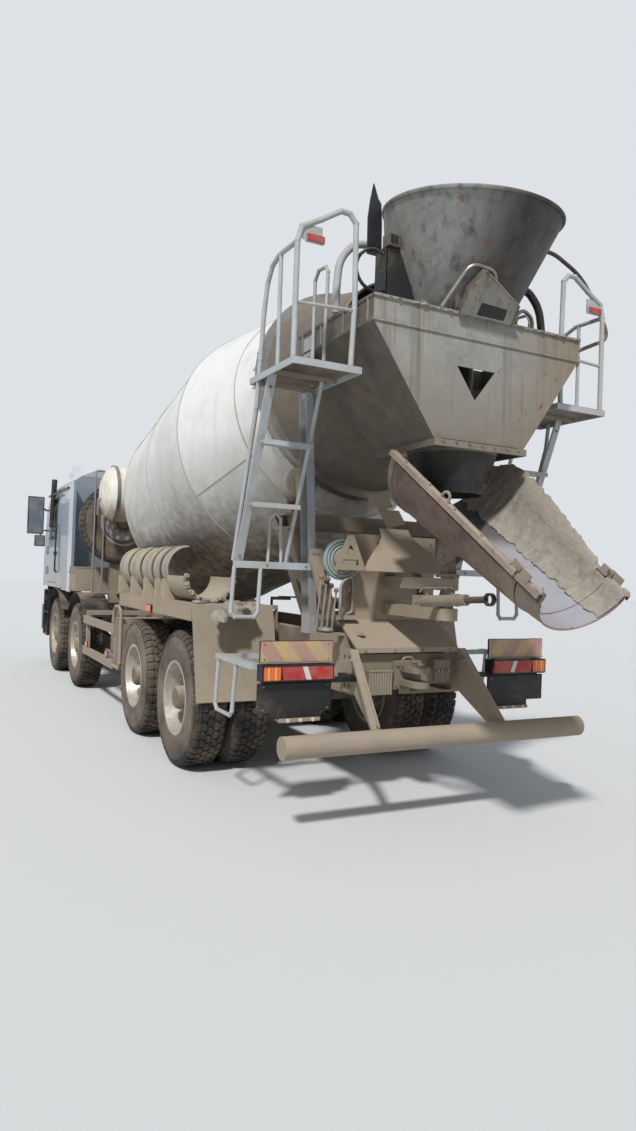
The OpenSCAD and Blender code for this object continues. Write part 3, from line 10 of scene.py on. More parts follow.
import bmesh
import bpy
from mathutils import Matrix, Vector, noise


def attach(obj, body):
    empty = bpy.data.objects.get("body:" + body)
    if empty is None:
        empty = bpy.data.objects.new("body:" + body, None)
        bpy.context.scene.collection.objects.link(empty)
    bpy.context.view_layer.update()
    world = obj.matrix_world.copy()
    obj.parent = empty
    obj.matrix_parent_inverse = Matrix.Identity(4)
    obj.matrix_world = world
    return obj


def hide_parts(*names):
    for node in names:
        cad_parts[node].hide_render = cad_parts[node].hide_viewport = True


bl_info = {
    "name": "Concrete Mixer Truck Looks",
    "version": (1, 0, 0),
    "blender": (4, 5, 0),
    "location": "View3D > Sidebar > Mixer Truck",
    "description": "Adds finishes and small parts to the truck's frame",
    "category": "Object",
}

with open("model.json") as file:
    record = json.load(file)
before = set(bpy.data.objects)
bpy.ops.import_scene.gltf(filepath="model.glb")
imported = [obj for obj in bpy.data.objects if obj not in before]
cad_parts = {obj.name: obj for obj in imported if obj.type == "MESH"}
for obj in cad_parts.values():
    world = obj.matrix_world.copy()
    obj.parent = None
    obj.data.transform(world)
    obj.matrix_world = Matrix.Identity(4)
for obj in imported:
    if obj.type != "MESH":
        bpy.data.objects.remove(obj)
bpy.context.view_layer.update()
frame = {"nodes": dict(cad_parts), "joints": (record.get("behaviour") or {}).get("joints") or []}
JOINTS = {joint["name"]: joint for joint in frame["joints"]}
REAR_AXLE_X = JOINTS["roll_4_left"]["pos_m"][0]
AXLE_X = [round((JOINTS[name]["pos_m"][0] - REAR_AXLE_X) * 1000) for name in
          ("steer_1_left", "steer_2_left", "roll_3_left", "roll_4_left")]
WHEEL_Y = round(JOINTS["roll_4_left"]["pos_m"][1] * 1000)
TYRE_R = round(JOINTS["roll_4_left"]["pos_m"][2] * 1000)
TYRE_HALF = 148
TWIN_GAP = 348
RIM_R = 286
DRUM_TILT = math.radians(12.8)
DRUM_Z = 2897
SWIVEL_X = -1967
TILT_Z = 2185
CHUTE_SLOPE = math.radians(37.5)
CHUTE_SWING = math.radians(7)
SIDES = (("left", 1), ("right", -1))


# places
def turn(axis, degrees):
    return Matrix.Rotation(math.radians(degrees), 4, axis)


def shift(x, y, z):
    return Matrix.Translation((x, y, z))


CHASSIS = Matrix.Translation((REAR_AXLE_X, 0, 0)) @ Matrix.Scale(0.001, 4)
ON_DRUM = CHASSIS @ shift(0, 0, DRUM_Z) @ Matrix.Rotation(math.radians(90) + DRUM_TILT, 4, "Y")
ON_CHUTE = (CHASSIS @ shift(SWIVEL_X, 0, TILT_Z) @ Matrix.Rotation(CHUTE_SWING, 4, "Z")
            @ Matrix.Rotation(-CHUTE_SLOPE, 4, "Y") @ turn("Z", 180))
AT_SWIVEL = CHASSIS @ shift(SWIVEL_X, 0, 0) @ Matrix.Rotation(CHUTE_SWING, 4, "Z")
MIRROR_Y = Matrix.Scale(-1, 4, (0, 1, 0))
FACING_BACK = Matrix(((0, 0, -1, 0), (1, 0, 0, 0), (0, 1, 0, 0), (0, 0, 0, 1)))


def on_side(side):
    """A place as drawn for the left, or its mirror image for the right."""
    return Matrix.Identity(4) if side > 0 else MIRROR_Y


def at_wheel(axle, side):
    return CHASSIS @ on_side(side) @ shift(AXLE_X[axle - 1], WHEEL_Y, TYRE_R) @ turn("X", -90)


# colours
def shade(red, green, blue):
    """A colour as it looks on a screen, 0 to 255, as linear values."""
    def linear(c):
        c /= 255
        return c / 12.92 if c <= 0.04045 else ((c + 0.055) / 1.055) ** 2.4
    return (linear(red), linear(green), linear(blue), 1.0)


DUST = shade(168, 150, 128)
MUD = shade(122, 106, 88)
CONCRETE = shade(178, 164, 142)
RUST = shade(112, 66, 42)


# finishes
class Nodes:
    """Short calls for one material's node tree."""

    def __init__(self, material):
        material.use_nodes = True
        self.tree = material.node_tree
        self.shader = self.tree.nodes["Principled BSDF"]
        place = self.tree.nodes.new("ShaderNodeTexCoord")
        self.position, self.normal = place.outputs["Object"], place.outputs["Normal"]

    def link(self, source, socket):
        self.tree.links.new(source, socket)

    def noise(self, scale, detail=4.0, stretch=None, rough=0.6):
        node = self.tree.nodes.new("ShaderNodeTexNoise")
        node.inputs["Scale"].default_value = scale
        node.inputs["Detail"].default_value = detail
        node.inputs["Roughness"].default_value = rough
        source = self.position
        if stretch:
            mapping = self.tree.nodes.new("ShaderNodeMapping")
            mapping.inputs["Scale"].default_value = stretch
            self.link(source, mapping.inputs["Vector"])
            source = mapping.outputs["Vector"]
        self.link(source, node.inputs["Vector"])
        return node.outputs["Fac"]

    def span(self, source, low, high, start=0.0, end=1.0):
        node = self.tree.nodes.new("ShaderNodeMapRange")
        for key, value in (("From Min", low), ("From Max", high), ("To Min", start), ("To Max", end)):
            node.inputs[key].default_value = value
        self.link(source, node.inputs["Value"])
        return node.outputs["Result"]

    def math(self, kind, first, second=None, clamp=False):
        node = self.tree.nodes.new("ShaderNodeMath")
        node.operation, node.use_clamp = kind, clamp
        for socket, value in ((0, first), (1, second)):
            if isinstance(value, (int, float)):
                node.inputs[socket].default_value = value
            elif value is not None:
                self.link(value, node.inputs[socket])
        return node.outputs[0]

    def axis(self, source, name):
        node = self.tree.nodes.new("ShaderNodeSeparateXYZ")
        self.link(source, node.inputs[0])
        return node.outputs[name]

    def mix(self, factor, first, second):
        node = self.tree.nodes.new("ShaderNodeMix")
        node.data_type = "RGBA"
        self.link(factor, node.inputs["Factor"])
        for name, value in (("A", first), ("B", second)):
            socket = [s for s in node.inputs if s.name == name and s.type == "RGBA"][0]
            if isinstance(value, tuple):
                socket.default_value = value
            else:
                self.link(value, socket)
        return [s for s in node.outputs if s.type == "RGBA"][0]

    def bump(self, height, strength, distance=0.004):
        node = self.tree.nodes.new("ShaderNodeBump")
        node.inputs["Strength"].default_value = strength
        node.inputs["Distance"].default_value = distance
        self.link(height, node.inputs["Height"])
        self.link(node.outputs["Normal"], self.shader.inputs["Normal"])


def darker(colour, share):
    return tuple(c * share for c in colour[:3]) + (1.0,)


MATERIALS = {}


def finish(name, base, rough=0.55, metal=0.0, dust=0.4, dust_colour=DUST, up=0.45, patch=1.6, tone=0.82,
           streak=0.0, streak_colour=MUD, rust=0.0, bands=(), bump=0.25, grain=90.0, coat=0.0):
    """A painted, bare or caked surface with patches, dust, streaks, rust and darker bands, some of grime,
    some of painted shade.

    A band is an axis, where it is thickest, where it ends, its colour and its thinnest cover.
    A small letter for the axis means the way the surface faces; such a band paints shade on the faces turned
    one way."""
    if name in MATERIALS:
        return MATERIALS[name]
    material = bpy.data.materials.new(name)
    n = Nodes(material)
    wide, fine = n.noise(patch, 5.0), n.noise(grain, 3.0)
    mid = n.noise(patch * 7, 4.0)
    colour = n.mix(n.span(mid, 0.35, 0.65), darker(base, tone), base)
    if streak:
        runs = n.noise(5.0, 3.0, (3.2, 3.2, 0.22))
        colour = n.mix(n.span(runs, 0.52, 0.72, 0.0, streak), colour, streak_colour)
    cover = n.math("ADD", n.span(wide, 0.35, 0.68, dust - 0.45, dust + 0.35),
                   n.span(fine, 0.3, 0.7, -0.15, 0.15))
    if up:
        cover = n.math("ADD", cover, n.span(n.axis(n.normal, "Z"), 0.2, 0.9, 0.0, up))
    dusty = n.mix(mid, darker(dust_colour, 0.86), dust_colour)
    cover = n.math("MINIMUM", n.math("MAXIMUM", cover, 0.0), 1.0)
    colour = n.mix(cover, colour, dusty)
    for axis, thick, thin, tint, least in bands:
        source = n.normal if axis.islower() else n.position
        reach = n.span(n.axis(source, axis.upper()), thick, thin, 1.0, 0.0)
        depth = n.math("MULTIPLY", reach, n.span(mid, 0.25, 0.6, least, 1.0), clamp=True)
        colour = n.mix(depth, colour, tint)
    if rust:
        specks = n.span(n.noise(11.0, 6.0, rough=0.7), 0.62 - 0.2 * rust, 0.72 - 0.2 * rust)
        specks = n.math("MULTIPLY", specks, n.span(n.noise(2.2, 2.0), 0.42, 0.6), clamp=True)
        colour = n.mix(specks, colour, RUST)
    n.link(colour, n.shader.inputs["Base Color"])
    n.link(n.span(cover, 0.0, 1.0, rough, 0.93), n.shader.inputs["Roughness"])
    n.shader.inputs["Metallic"].default_value = metal
    n.shader.inputs["Coat Weight"].default_value = coat
    n.bump(n.math("ADD", fine, n.math("MULTIPLY", cover, 0.6)), bump)
    MATERIALS[name] = material
    return material


def glass_finish(name, colour, rough=0.08, alpha=1.0):
    if name in MATERIALS:
        return MATERIALS[name]
    material = bpy.data.materials.new(name)
    n = Nodes(material)
    tint = n.span(n.noise(6.0, 5.0), 0.4, 0.75, 0.0, 0.5)
    n.link(n.mix(tint, colour, DUST), n.shader.inputs["Base Color"])
    n.link(n.span(tint, 0.0, 0.5, rough, 0.6), n.shader.inputs["Roughness"])
    n.shader.inputs["Alpha"].default_value = alpha
    n.bump(n.noise(3.0), 0.02)
    MATERIALS[name] = material
    return material


def striped_finish():
    """Red and yellow slanted stripes of a marker board, bleached and dusty."""
    if "marker_stripes" in MATERIALS:
        return MATERIALS["marker_stripes"]
    material = bpy.data.materials.new("lamp_plastic")
    n = Nodes(material)
    y, z = n.axis(n.position, "Y"), n.axis(n.position, "Z")
    away = n.math("ABSOLUTE", y)
    across = n.math("MULTIPLY", n.math("SUBTRACT", away, n.math("MULTIPLY", z, 0.75)), 4.3)
    band = n.math("GREATER_THAN", n.math("FRACT", across), 0.5)
    colour = n.mix(band, shade(172, 116, 114), shade(196, 166, 98))
    tint = n.span(n.noise(9.0, 5.0), 0.3, 0.7, 0.25, 0.85)
    n.link(n.mix(tint, colour, DUST), n.shader.inputs["Base Color"])
    n.shader.inputs["Roughness"].default_value = 0.6
    n.bump(n.noise(60.0), 0.1)
    MATERIALS["marker_stripes"] = material
    return material


def finishes():
    """Every finish of the truck by a short word."""
    colours = bpy.context.scene.truck_colours
    return {
        # The drum is darker towards its bottom: grime there together with painted shade under the drum.
        "drum": finish("drum_paint", tuple(colours.drum), rough=0.38, dust=0.12, up=0.1, tone=0.95,
                       streak=0.12, dust_colour=shade(190, 186, 176), bump=0.1,
                       bands=[("Z", 1.75, 2.75, shade(120, 110, 98), 0.35)]),
        # The rear cone, the mouth's inside and the blades are painted dark: dust together with painted shade.
        "drum_rear": finish("drum_rear_dust_and_painted_shade", shade(104, 97, 86), rough=0.7, dust=0.5, tone=0.7, bump=0.4,
                            dust_colour=shade(122, 111, 96)),
        "weld": finish("drum_weld", shade(168, 165, 158), rough=0.6, dust=0.3),
        "frame": finish("dusty_frame", shade(96, 88, 78), dust=0.75, tone=0.7, bump=0.5),
        "axle": finish("dusty_axle", shade(62, 56, 50), dust=0.55, tone=0.7, bump=0.5),
        "engine": finish("engine_metal", shade(70, 68, 66), dust=0.4, metal=0.3),
        "fender": finish("dusty_fender", shade(140, 130, 114), dust=colours.dustiness, tone=0.8, streak=0.35,
                         bump=0.45, dust_colour=tuple(colours.dust)),
        "pedestal": finish("dusty_pedestal", shade(118, 110, 98), dust=0.7, tone=0.72, streak=0.45, bump=0.4,
                           dust_colour=shade(140, 128, 110)),
        "hopper": finish("stained_hopper_with_painted_shade", shade(150, 149, 143), dust=0.2, tone=0.76, streak=0.85, patch=1.1,
                         dust_colour=shade(154, 145, 126), streak_colour=shade(92, 82, 68), bump=0.35,
                         rust=0.2, bands=[("Z", 2.3, 3.0, shade(112, 100, 84), 0.35),
                                          ("Y", -1.0, -0.1, shade(122, 104, 82), 0.35),
                                          # Facets facing left are painted darker: painted shade.
                                          ("y", 0.7, 0.3, shade(88, 81, 70), 0.6),
                                          # Below z 2.403 m the outlet is painted near black: its wet black
                                          # rubber together with painted shade under the hopper.
                                          ("Z", 2.403, 2.409, shade(30, 28, 26), 0.9)]),
        "funnel": finish("stained_funnel_with_painted_shade", shade(142, 144, 141), dust=0.2, tone=0.7, streak=0.85, patch=1.3,
                         dust_colour=shade(146, 138, 122), streak_colour=shade(70, 64, 56), rust=0.2,
                         # The funnel's right half is painted darker: painted shade.
                         bump=0.35, rough=0.5, bands=[("Y", 0.02, 0.34, shade(46, 42, 38), 0.8)]),
        "pipe_blue": finish("ladder_paint", shade(174, 180, 183), dust=0.25, up=0.5, tone=0.88, bump=0.2),
        "caked": finish("caked_trough", shade(168, 156, 136), dust=0.7, tone=0.8, bump=0.8, grain=40,
                        dust_colour=CONCRETE, patch=3.0),
        "crust": finish("dried_concrete", shade(146, 138, 127), dust=0.5, dust_colour=shade(162, 152, 138),
                        tone=0.7, bump=1.0, grain=34, patch=3.5, up=0.1),
        "wet": finish("wet_trough_floor_with_painted_shadow", shade(158, 155, 160), rough=0.3, dust=-0.1, up=0.0, tone=0.9,
                      bump=0.15, dust_colour=shade(146, 139, 136),
                      # Above z 1.8 m the floor is painted darker: painted shadow of the outlet on it.
                      bands=[("Z", 1.90, 1.80, shade(84, 80, 78), 0.8)]),
        # Dark rust colour put under the chute's rim as painted shade.
        "painted_rim_shade": finish("rust_and_painted_shade_in_rim", shade(44, 29, 23), dust=0.1, up=0.0, tone=0.7, bump=0.4),
        "chute": finish("rusty_trough", shade(98, 76, 68), dust=0.55, tone=0.6, streak=0.3, rust=0.4,
                        bump=0.6, dust_colour=shade(160, 144, 128), patch=1.7),
        "tank": finish("tank_paint", shade(226, 222, 208), rough=0.4, dust=0.1, tone=0.92, bump=0.15,
                       streak=0.35, streak_colour=shade(150, 120, 84),
                       bands=[("Z", 2.15, 2.45, shade(120, 72, 44), 0.35)]),
        "rubber": finish("tyre_rubber", shade(44, 42, 40), rough=0.85, dust=0.25,
                         dust_colour=shade(128, 114, 98), up=0.0, tone=0.8, bump=0.35, patch=3.0),
        "sidewall": finish("tyre_sidewall", shade(66, 60, 55), rough=0.85, dust=0.55, tone=0.8, bump=0.3,
                           dust_colour=shade(134, 118, 102), up=0.0, patch=3.0),
        "rim": finish("rim_silver", shade(186, 180, 170), rough=0.4, metal=0.35, dust=0.3, tone=0.85, up=0.0,
                      dust_colour=shade(150, 134, 116), patch=4.0),
        "nut": finish("wheel_nuts", shade(120, 108, 94), metal=0.5, dust=0.5),
        "cab": finish("cab_silver_blue", tuple(colours.cab), rough=0.32, metal=0.2, dust=0.1, up=0.15,
                      tone=0.94, bands=[("Z", 1.25, 1.9, shade(140, 132, 120), 0.35)], bump=0.05, coat=0.4),
        "fairing": finish("fairing_silver", shade(198, 202, 206), rough=0.28, metal=0.5, dust=0.1, tone=0.95,
                          bump=0.05, coat=0.4),
        "dusty_steel": finish("dusty_steel", shade(126, 110, 96), dust=0.55, tone=0.78, streak=0.2, rust=0.35,
                              bump=0.5, dust_colour=shade(166, 152, 134), patch=2.6),
        "black": finish("black_plastic", shade(26, 26, 28), rough=0.5, dust=0.1, up=0.25, tone=0.8, bump=0.2),
        "grey_plastic": finish("grey_plastic", shade(78, 78, 80), rough=0.6, dust=0.3),
        "trim": finish("cab_trim", shade(74, 72, 70), rough=0.7, dust=0.05, up=0.0),
        "steel": finish("bright_steel", shade(150, 148, 144), rough=0.35, metal=0.8, dust=0.2),
        "grey_paint": finish("drive_paint", shade(96, 98, 102), dust=0.4),
        "hose": finish("wash_hose_rubber", shade(140, 158, 158), rough=0.5, dust=0.2, up=0.2),
        "black_hose": finish("black_hose", shade(30, 30, 32), rough=0.45, dust=0.15),
        "red_paint": finish("red_valve_paint", shade(150, 40, 34), dust=0.35),
        "glass": glass_finish("window_glass", shade(26, 32, 38), 0.06, 0.72),
        "mirror": glass_finish("mirror_glass", shade(96, 106, 118), 0.05),
        "white_paint": finish("white_paint", shade(222, 226, 230), rough=0.35, dust=0.1, up=0.1, tone=0.94,
                              bump=0.1),
        "red_lens": glass_finish("red_lens", shade(168, 18, 26), 0.15),
        "amber_lens": glass_finish("amber_lens", shade(226, 104, 30), 0.15),
        "white_lens": glass_finish("white_lens", shade(212, 206, 200), 0.15),
        "stripes": striped_finish(),
        "orange_lens": glass_finish("orange_lens", shade(236, 150, 84), 0.2),
        "post": finish("post_paint", shade(150, 160, 168), dust=0.35, up=0.4, tone=0.85, streak=0.35,
                       bump=0.3),
        "blank": finish("blank_plate", shade(30, 30, 32), rough=0.6, dust=-0.05, up=0.1),
    }


# shapes
SHARP_FROM = math.radians(35)
BEND_STEPS = 6


def prism_faces(count):
    """Sides and both ends between two outlines of count corners each."""
    sides = [[i, (i + 1) % count, count + (i + 1) % count, count + i] for i in range(count)]
    return sides + [list(range(count))[::-1], list(range(count, 2 * count))]


class Shape:
    """Collects the faces of one piece, drawn in millimetres of a place's own frame."""

    def __init__(self, look, place=CHASSIS):
        self.look, self.place = look, place
        self.verts, self.faces, self.marks, self.words = [], [], [], []

    def add(self, verts, faces, word, place=None):
        if word not in self.words:
            self.words.append(word)
        start, mark = len(self.verts), self.words.index(word)
        matrix = self.place if place is None else self.place @ place
        self.verts += [matrix @ Vector(v) for v in verts]
        self.faces += [[start + i for i in face] for face in faces]
        self.marks += [mark] * len(faces)

    def box(self, low, high, word, place=None):
        (a, b, c), (d, e, f) = low, high
        self.prism([(a, b), (d, b), (d, e), (a, e)], c, f, word, place)

    def prism(self, outline, low, high, word, place=None):
        """An outline in x and y, from low to high along z."""
        verts = [(x, y, z) for z in (low, high) for x, y in outline]
        self.add(verts, prism_faces(len(outline)), word, place)

    def turned(self, profile, word, place=None, steps=48, closed=False, start=0.0, sweep=360.0):
        """A profile of (radius, z) points turned about the place's z axis."""
        full = abs(sweep - 360) < 0.01
        rows = steps if full else steps + 1
        verts, faces, count = [], [], len(profile)
        for i in range(rows):
            a = math.radians(start + sweep * i / steps)
            verts += [(r * math.cos(a), r * math.sin(a), z) for r, z in profile]
        last = count if closed else count - 1
        for i in range(steps):
            j = (i + 1) % rows
            for k in range(last):
                m = (k + 1) % count
                faces.append([i * count + k, j * count + k, j * count + m, i * count + m])
        if closed and not full:
            faces += [list(range(count))[::-1], [steps * count + k for k in range(count)]]
        self.add(verts, faces, word, place)

    def pipe(self, route, radius, word, place=None, sides=10, bend=0.0, closed=False):
        """A round pipe along a route, its corners rounded by the bend radius."""
        points = rounded(route, bend, closed) if bend else [Vector(p) for p in route]
        rings, normal = [], None
        count = len(points)
        for i, point in enumerate(points):
            before = points[i - 1] if i or closed else point
            after = points[(i + 1) % count] if i + 1 < count or closed else point
            along = (after - before).normalized()
            if normal is None:
                normal = along.orthogonal().normalized()
            normal = (normal - along * normal.dot(along)).normalized()
            across = along.cross(normal)
            rings.append([point + radius * (math.cos(a) * normal + math.sin(a) * across)
                          for a in (2 * math.pi * k / sides for k in range(sides))])
        verts = [v for ring in rings for v in ring]
        loops = range(count if closed else count - 1)
        faces = [[i * sides + k, i * sides + (k + 1) % sides, (i + 1) % count * sides + (k + 1) % sides,
                  (i + 1) % count * sides + k] for i in loops for k in range(sides)]
        if not closed:
            faces += [list(range(sides))[::-1], [(count - 1) * sides + k for k in range(sides)]]
        self.add(verts, faces, word, place)

    def rod(self, start, end, radius, word, place=None, sides=12):
        self.pipe([start, end], radius, word, place, sides)

    def sheet(self, rows, word, place=None, wrap=False):
        """A skin through rows of points."""
        width = len(rows[0])
        verts = [p for row in rows for p in row]
        across = width if wrap else width - 1
        faces = []
        for near in range(0, (len(rows) - 1) * width, width):
            far = near + width
            for c in range(across):
                after = (c + 1) % width
                faces.append([near + c, near + after, far + after, far + c])
        self.add(verts, faces, word, place)

    def side_box(self, side, low, high, word):
        """A box drawn for the left, or its mirror image on the right."""
        near, far = sorted((side * low[1], side * high[1]))
        self.box((low[0], near, low[2]), (high[0], far, high[2]), word)

    def bolt(self, point, along, size, word, place=None, height=None):
        """A hexagon head standing on a point."""
        away = Vector(along).normalized()
        up = away.to_track_quat("Z", "Y").to_matrix().to_4x4()
        frame_at = Matrix.Translation(Vector(point)) @ up
        tall = height or size * 0.7
        ring = [(size * math.cos(k * math.pi / 3), size * math.sin(k * math.pi / 3)) for k in range(6)]
        self.prism(ring, 0, tall, word, frame_at if place is None else place @ frame_at)

    def make(self, name, body, stands_for=(), recalc=True):
        """Turns the faces into one piece that rides on a body and may stand for frame parts."""
        mesh = bpy.data.meshes.new(name)
        mesh.from_pydata([tuple(v) for v in self.verts], [], self.faces)
        mesh.update()
        for word in self.words:
            mesh.materials.append(self.look[word])
        mesh.polygons.foreach_set("material_index", self.marks)
        if recalc:
            work = bmesh.new()
            work.from_mesh(mesh)
            bmesh.ops.recalc_face_normals(work, faces=work.faces)
            work.to_mesh(mesh)
            work.free()
        mesh.polygons.foreach_set("use_smooth", [True] * len(mesh.polygons))
        mesh.set_sharp_from_angle(angle=SHARP_FROM)
        piece = bpy.data.objects.new(name, mesh)
        bpy.context.scene.collection.objects.link(piece)
        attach(piece, body)
        if stands_for:
            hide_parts(*stands_for)
        return piece


def rounded(route, bend, closed=False):
    """The route's points with each corner taken by an arc."""
    points = [Vector(p) for p in route]
    count, result = len(points), []
    for i, corner in enumerate(points):
        if not closed and i in (0, count - 1):
            result.append(corner)
            continue
        before, after = points[i - 1], points[(i + 1) % count]
        a, b = (before - corner), (after - corner)
        reach = min(bend, a.length * 0.48, b.length * 0.48)
        start, end = corner + a.normalized() * reach, corner + b.normalized() * reach
        for k in range(BEND_STEPS + 1):
            t = k / BEND_STEPS
            result.append(start * (1 - t) ** 2 + corner * 2 * t * (1 - t) + end * t * t)
    return result


def between(points, s):
    """The value at s on a line through points of (s, value)."""
    for (s1, v1), (s2, v2) in zip(points, points[1:]):
        if s <= s2:
            break
    return v1 + (v2 - v1) * min(max((s - s1) / (s2 - s1), 0), 1)


# wheels
TREAD_ROWS = ((-50, 0.0, 25), (0, 0.5, 25), (50, 0.0, 25))
HAND_HOLES = 10
WHEEL_NUTS, NUT_CIRCLE = 10, 128


def pitches():
    return bpy.context.scene.truck_sizes.tread_pitches


def groove_depth():
    return bpy.context.scene.truck_sizes.tread_depth * 1000


def tread_block(shape, angle, across, half, chance, place):
    """One six-sided block of the tread, its corners a little uneven."""
    reach = math.pi / pitches() * 0.86
    corners = [(-0.55, -1), (0.5, -1), (1, 0), (0.55, 1), (-0.5, 1), (-1, 0)]
    low, high = [], []
    for s, t in corners:
        s, t = s + chance.uniform(-0.12, 0.12), t + chance.uniform(-0.06, 0.06)
        for ring, radius, inset in ((low, TYRE_R - groove_depth() - 2, 1.0), (high, TYRE_R, 0.88)):
            a = angle + s * inset * reach
            ring.append((radius * math.cos(a), radius * math.sin(a), across + t * inset * half))
    faces = [[k, (k + 1) % 6, 6 + (k + 1) % 6, 6 + k] for k in range(6)] + [list(range(6, 12))]
    shape.add(low + high, faces, "rubber", place)


def shoulder_lug(shape, angle, way, chance, place):
    """A lug that wraps from the tread over the tyre's shoulder."""
    outline = [(82, 534), (82, TYRE_R), (112, TYRE_R - 5), (132, TYRE_R - 26), (139, TYRE_R - 52),
               (131, TYRE_R - 56)]
    reach = math.pi / pitches() * (0.72 + chance.uniform(-0.06, 0.06))
    verts = []
    for s in (-1, 1):
        for z, radius in outline:
            slim = 0.86 if radius > 536 and z < 120 else 1.0
            a = angle + s * reach * slim
            verts.append((radius * math.cos(a), radius * math.sin(a), way * z))
    shape.add(verts, prism_faces(len(outline)), "rubber", place)


def tyre(shape, place, seed):
    """Sidewalls, grooved crown and worn tread; the seed sets how uneven its blocks are."""
    chance = random.Random(seed)
    w = TYRE_HALF
    groove = TYRE_R - groove_depth()
    profile = [(RIM_R, -w + 30), (RIM_R + 18, -w + 14), (RIM_R + 26, -w + 13), (RIM_R + 40, -w + 8),
               (RIM_R + 75, -w + 3), (RIM_R + 110, -w + 1), (RIM_R + 112, -w), (RIM_R + 138, -w),
               (RIM_R + 140, -w + 2), (RIM_R + 180, -w + 7), (RIM_R + 205, -w + 12), (groove - 34, -w + 18),
               (groove - 8, -w + 34), (groove, -w + 62)]
    profile += [(r, -z) for r, z in reversed(profile)]
    shape.turned(profile[:14], "sidewall", place, 88)
    shape.turned(profile[13:15], "rubber", place, 88)
    shape.turned(profile[14:], "sidewall", place, 88)
    shape.turned([profile[-1], profile[0]], "rubber", place, 88)
    step = 2 * math.pi / pitches()
    for k in range(pitches()):
        for across, offset, half in TREAD_ROWS:
            tread_block(shape, (k + offset) * step, across, half, chance, place)
        for way in (-1, 1):
            shoulder_lug(shape, (k + 0.25 - 0.25 * way) * step, way, chance, place)


def disc_with_holes(shape, inner, outer, height, inner_height, place):
    """A rim's disc with a ring of hand holes; the height runs from the inner to the outer radius."""
    steps, levels = HAND_HOLES * 8, [0.0, 0.3, 0.42, 0.72, 0.86, 1.0]
    verts, faces = [], []
    for i in range(steps):
        a = 2 * math.pi * i / steps
        for level in levels:
            r = inner + (outer - inner) * level
            verts.append((r * math.cos(a), r * math.sin(a), inner_height + (height - inner_height) * level))
    width = len(levels)
    for i in range(steps):
        j = (i + 1) % steps
        for k in range(width - 1):
            if k == 2 and i % 8 in (2, 3, 4, 5) or k in (1, 3) and i % 8 in (3, 4):
                continue
            faces.append([i * width + k, j * width + k, j * width + k + 1, i * width + k + 1])
    shape.add(verts, faces, "rim", place)


def rim(shape, place, dish, hub, steered):
    """A drop-centre rim with its disc, hub and ten nuts; z points out of the truck."""
    w = TYRE_HALF
    face = dish + (10 if steered else -4)
    shape.turned([(RIM_R + 1, w - 34), (RIM_R + 16, w - 22), (RIM_R + 18, w - 13), (RIM_R + 12, w - 10),
                  (RIM_R - 6, w - 14), (RIM_R - 12, w - 34), (RIM_R - 16, w - 62), (RIM_R - 34, w - 92),
                  (RIM_R - 40, dish + 6), (RIM_R - 46, dish - 2)], "rim", place, 72)
    shape.turned([(RIM_R + 1, -w + 34), (RIM_R + 18, -w + 13), (RIM_R - 8, -w + 14), (RIM_R - 14, -w + 60),
                  (RIM_R - 48, -30), (RIM_R - 46, dish - 8)], "rim", place, 72)
    disc_with_holes(shape, 152, RIM_R - 46, dish - 2, face, place)
    shape.turned([(152, face), (148, face + 2), (100, face + 2)], "rim", place, 60)
    if steered:
        shape.turned([(104, dish + 8), (101, dish + 30), (92, dish + 38), (88, hub - 16), (76, hub - 4),
                      (0, hub)], "axle", place, 40)
    else:
        shape.turned([(112, dish - 10), (110, dish + 34), (98, dish + 44), (96, hub - 30), (84, hub - 12),
                      (80, hub - 2), (0, hub)], "axle", place, 40)
        for k in range(8):
            a = math.radians(45 * k + 10)
            shape.bolt((66 * math.cos(a), 66 * math.sin(a), hub - 3), (0, 0, 1), 8, "nut", place, 7)
    for k in range(WHEEL_NUTS):
        a = math.radians(36 * k + 18)
        seat = (NUT_CIRCLE * math.cos(a), NUT_CIRCLE * math.sin(a), face + 1)
        shape.bolt(seat, (0, 0, 1), 16, "nut", place, 20)
        shape.turned([(8, 0), (8, 34), (0, 34)], "nut", place @ shift(*seat), 10)


def build_wheels(look):
    """Single wheels on the two steered axles, twin wheels on the two driven ones."""
    for axle in (1, 2):
        for name, side in SIDES:
            shape = Shape(look, Matrix.Identity(4))
            tyre(shape, at_wheel(axle, side), 10 * axle + side)
            shape.make(f"tyre_{axle}_{name}", f"wheel_{axle}_{name}", [f"wheel_{axle}_{name}"])
            shape = Shape(look, Matrix.Identity(4))
            rim(shape, at_wheel(axle, side), 72, 134, True)
            shape.make(f"rim_{axle}_{name}", f"wheel_{axle}_{name}")
    for axle in (3, 4):
        for name, side in SIDES:
            for word, inward, seed in (("outer", 0, 100), ("inner", -TWIN_GAP, 200)):
                shape = Shape(look, Matrix.Identity(4))
                tyre(shape, at_wheel(axle, side) @ shift(0, 0, inward), seed + 10 * axle + side)
                stands = [f"wheels_{axle}_{name}"] if word == "outer" else []
                shape.make(f"tyre_{axle}_{word}_{name}", f"wheels_{axle}_{name}", stands)
            shape = Shape(look, Matrix.Identity(4))
            place = at_wheel(axle, side)
            rim(shape, place, -30, 130, False)
            inner = place @ shift(0, 0, -TWIN_GAP)
            w = TYRE_HALF
            shape.turned([(RIM_R + 1, w - 34), (RIM_R + 18, w - 13), (RIM_R - 8, w - 14),
                          (RIM_R - 14, w - 60), (RIM_R - 48, 20), (RIM_R - 46, -60), (RIM_R - 14, -w + 60),
                          (RIM_R - 8, -w + 14), (RIM_R + 18, -w + 13), (RIM_R + 1, -w + 34)],
                         "rim", inner, 60)
            shape.turned([(RIM_R - 40, 60), (190, 128), (150, 132), (148, 90)], "rim", inner, 60)
            shape.turned([(150, 20), (150, -236), (70, -238)], "axle", place, 40)
            shape.make(f"rim_{axle}_{name}", f"wheels_{axle}_{name}")


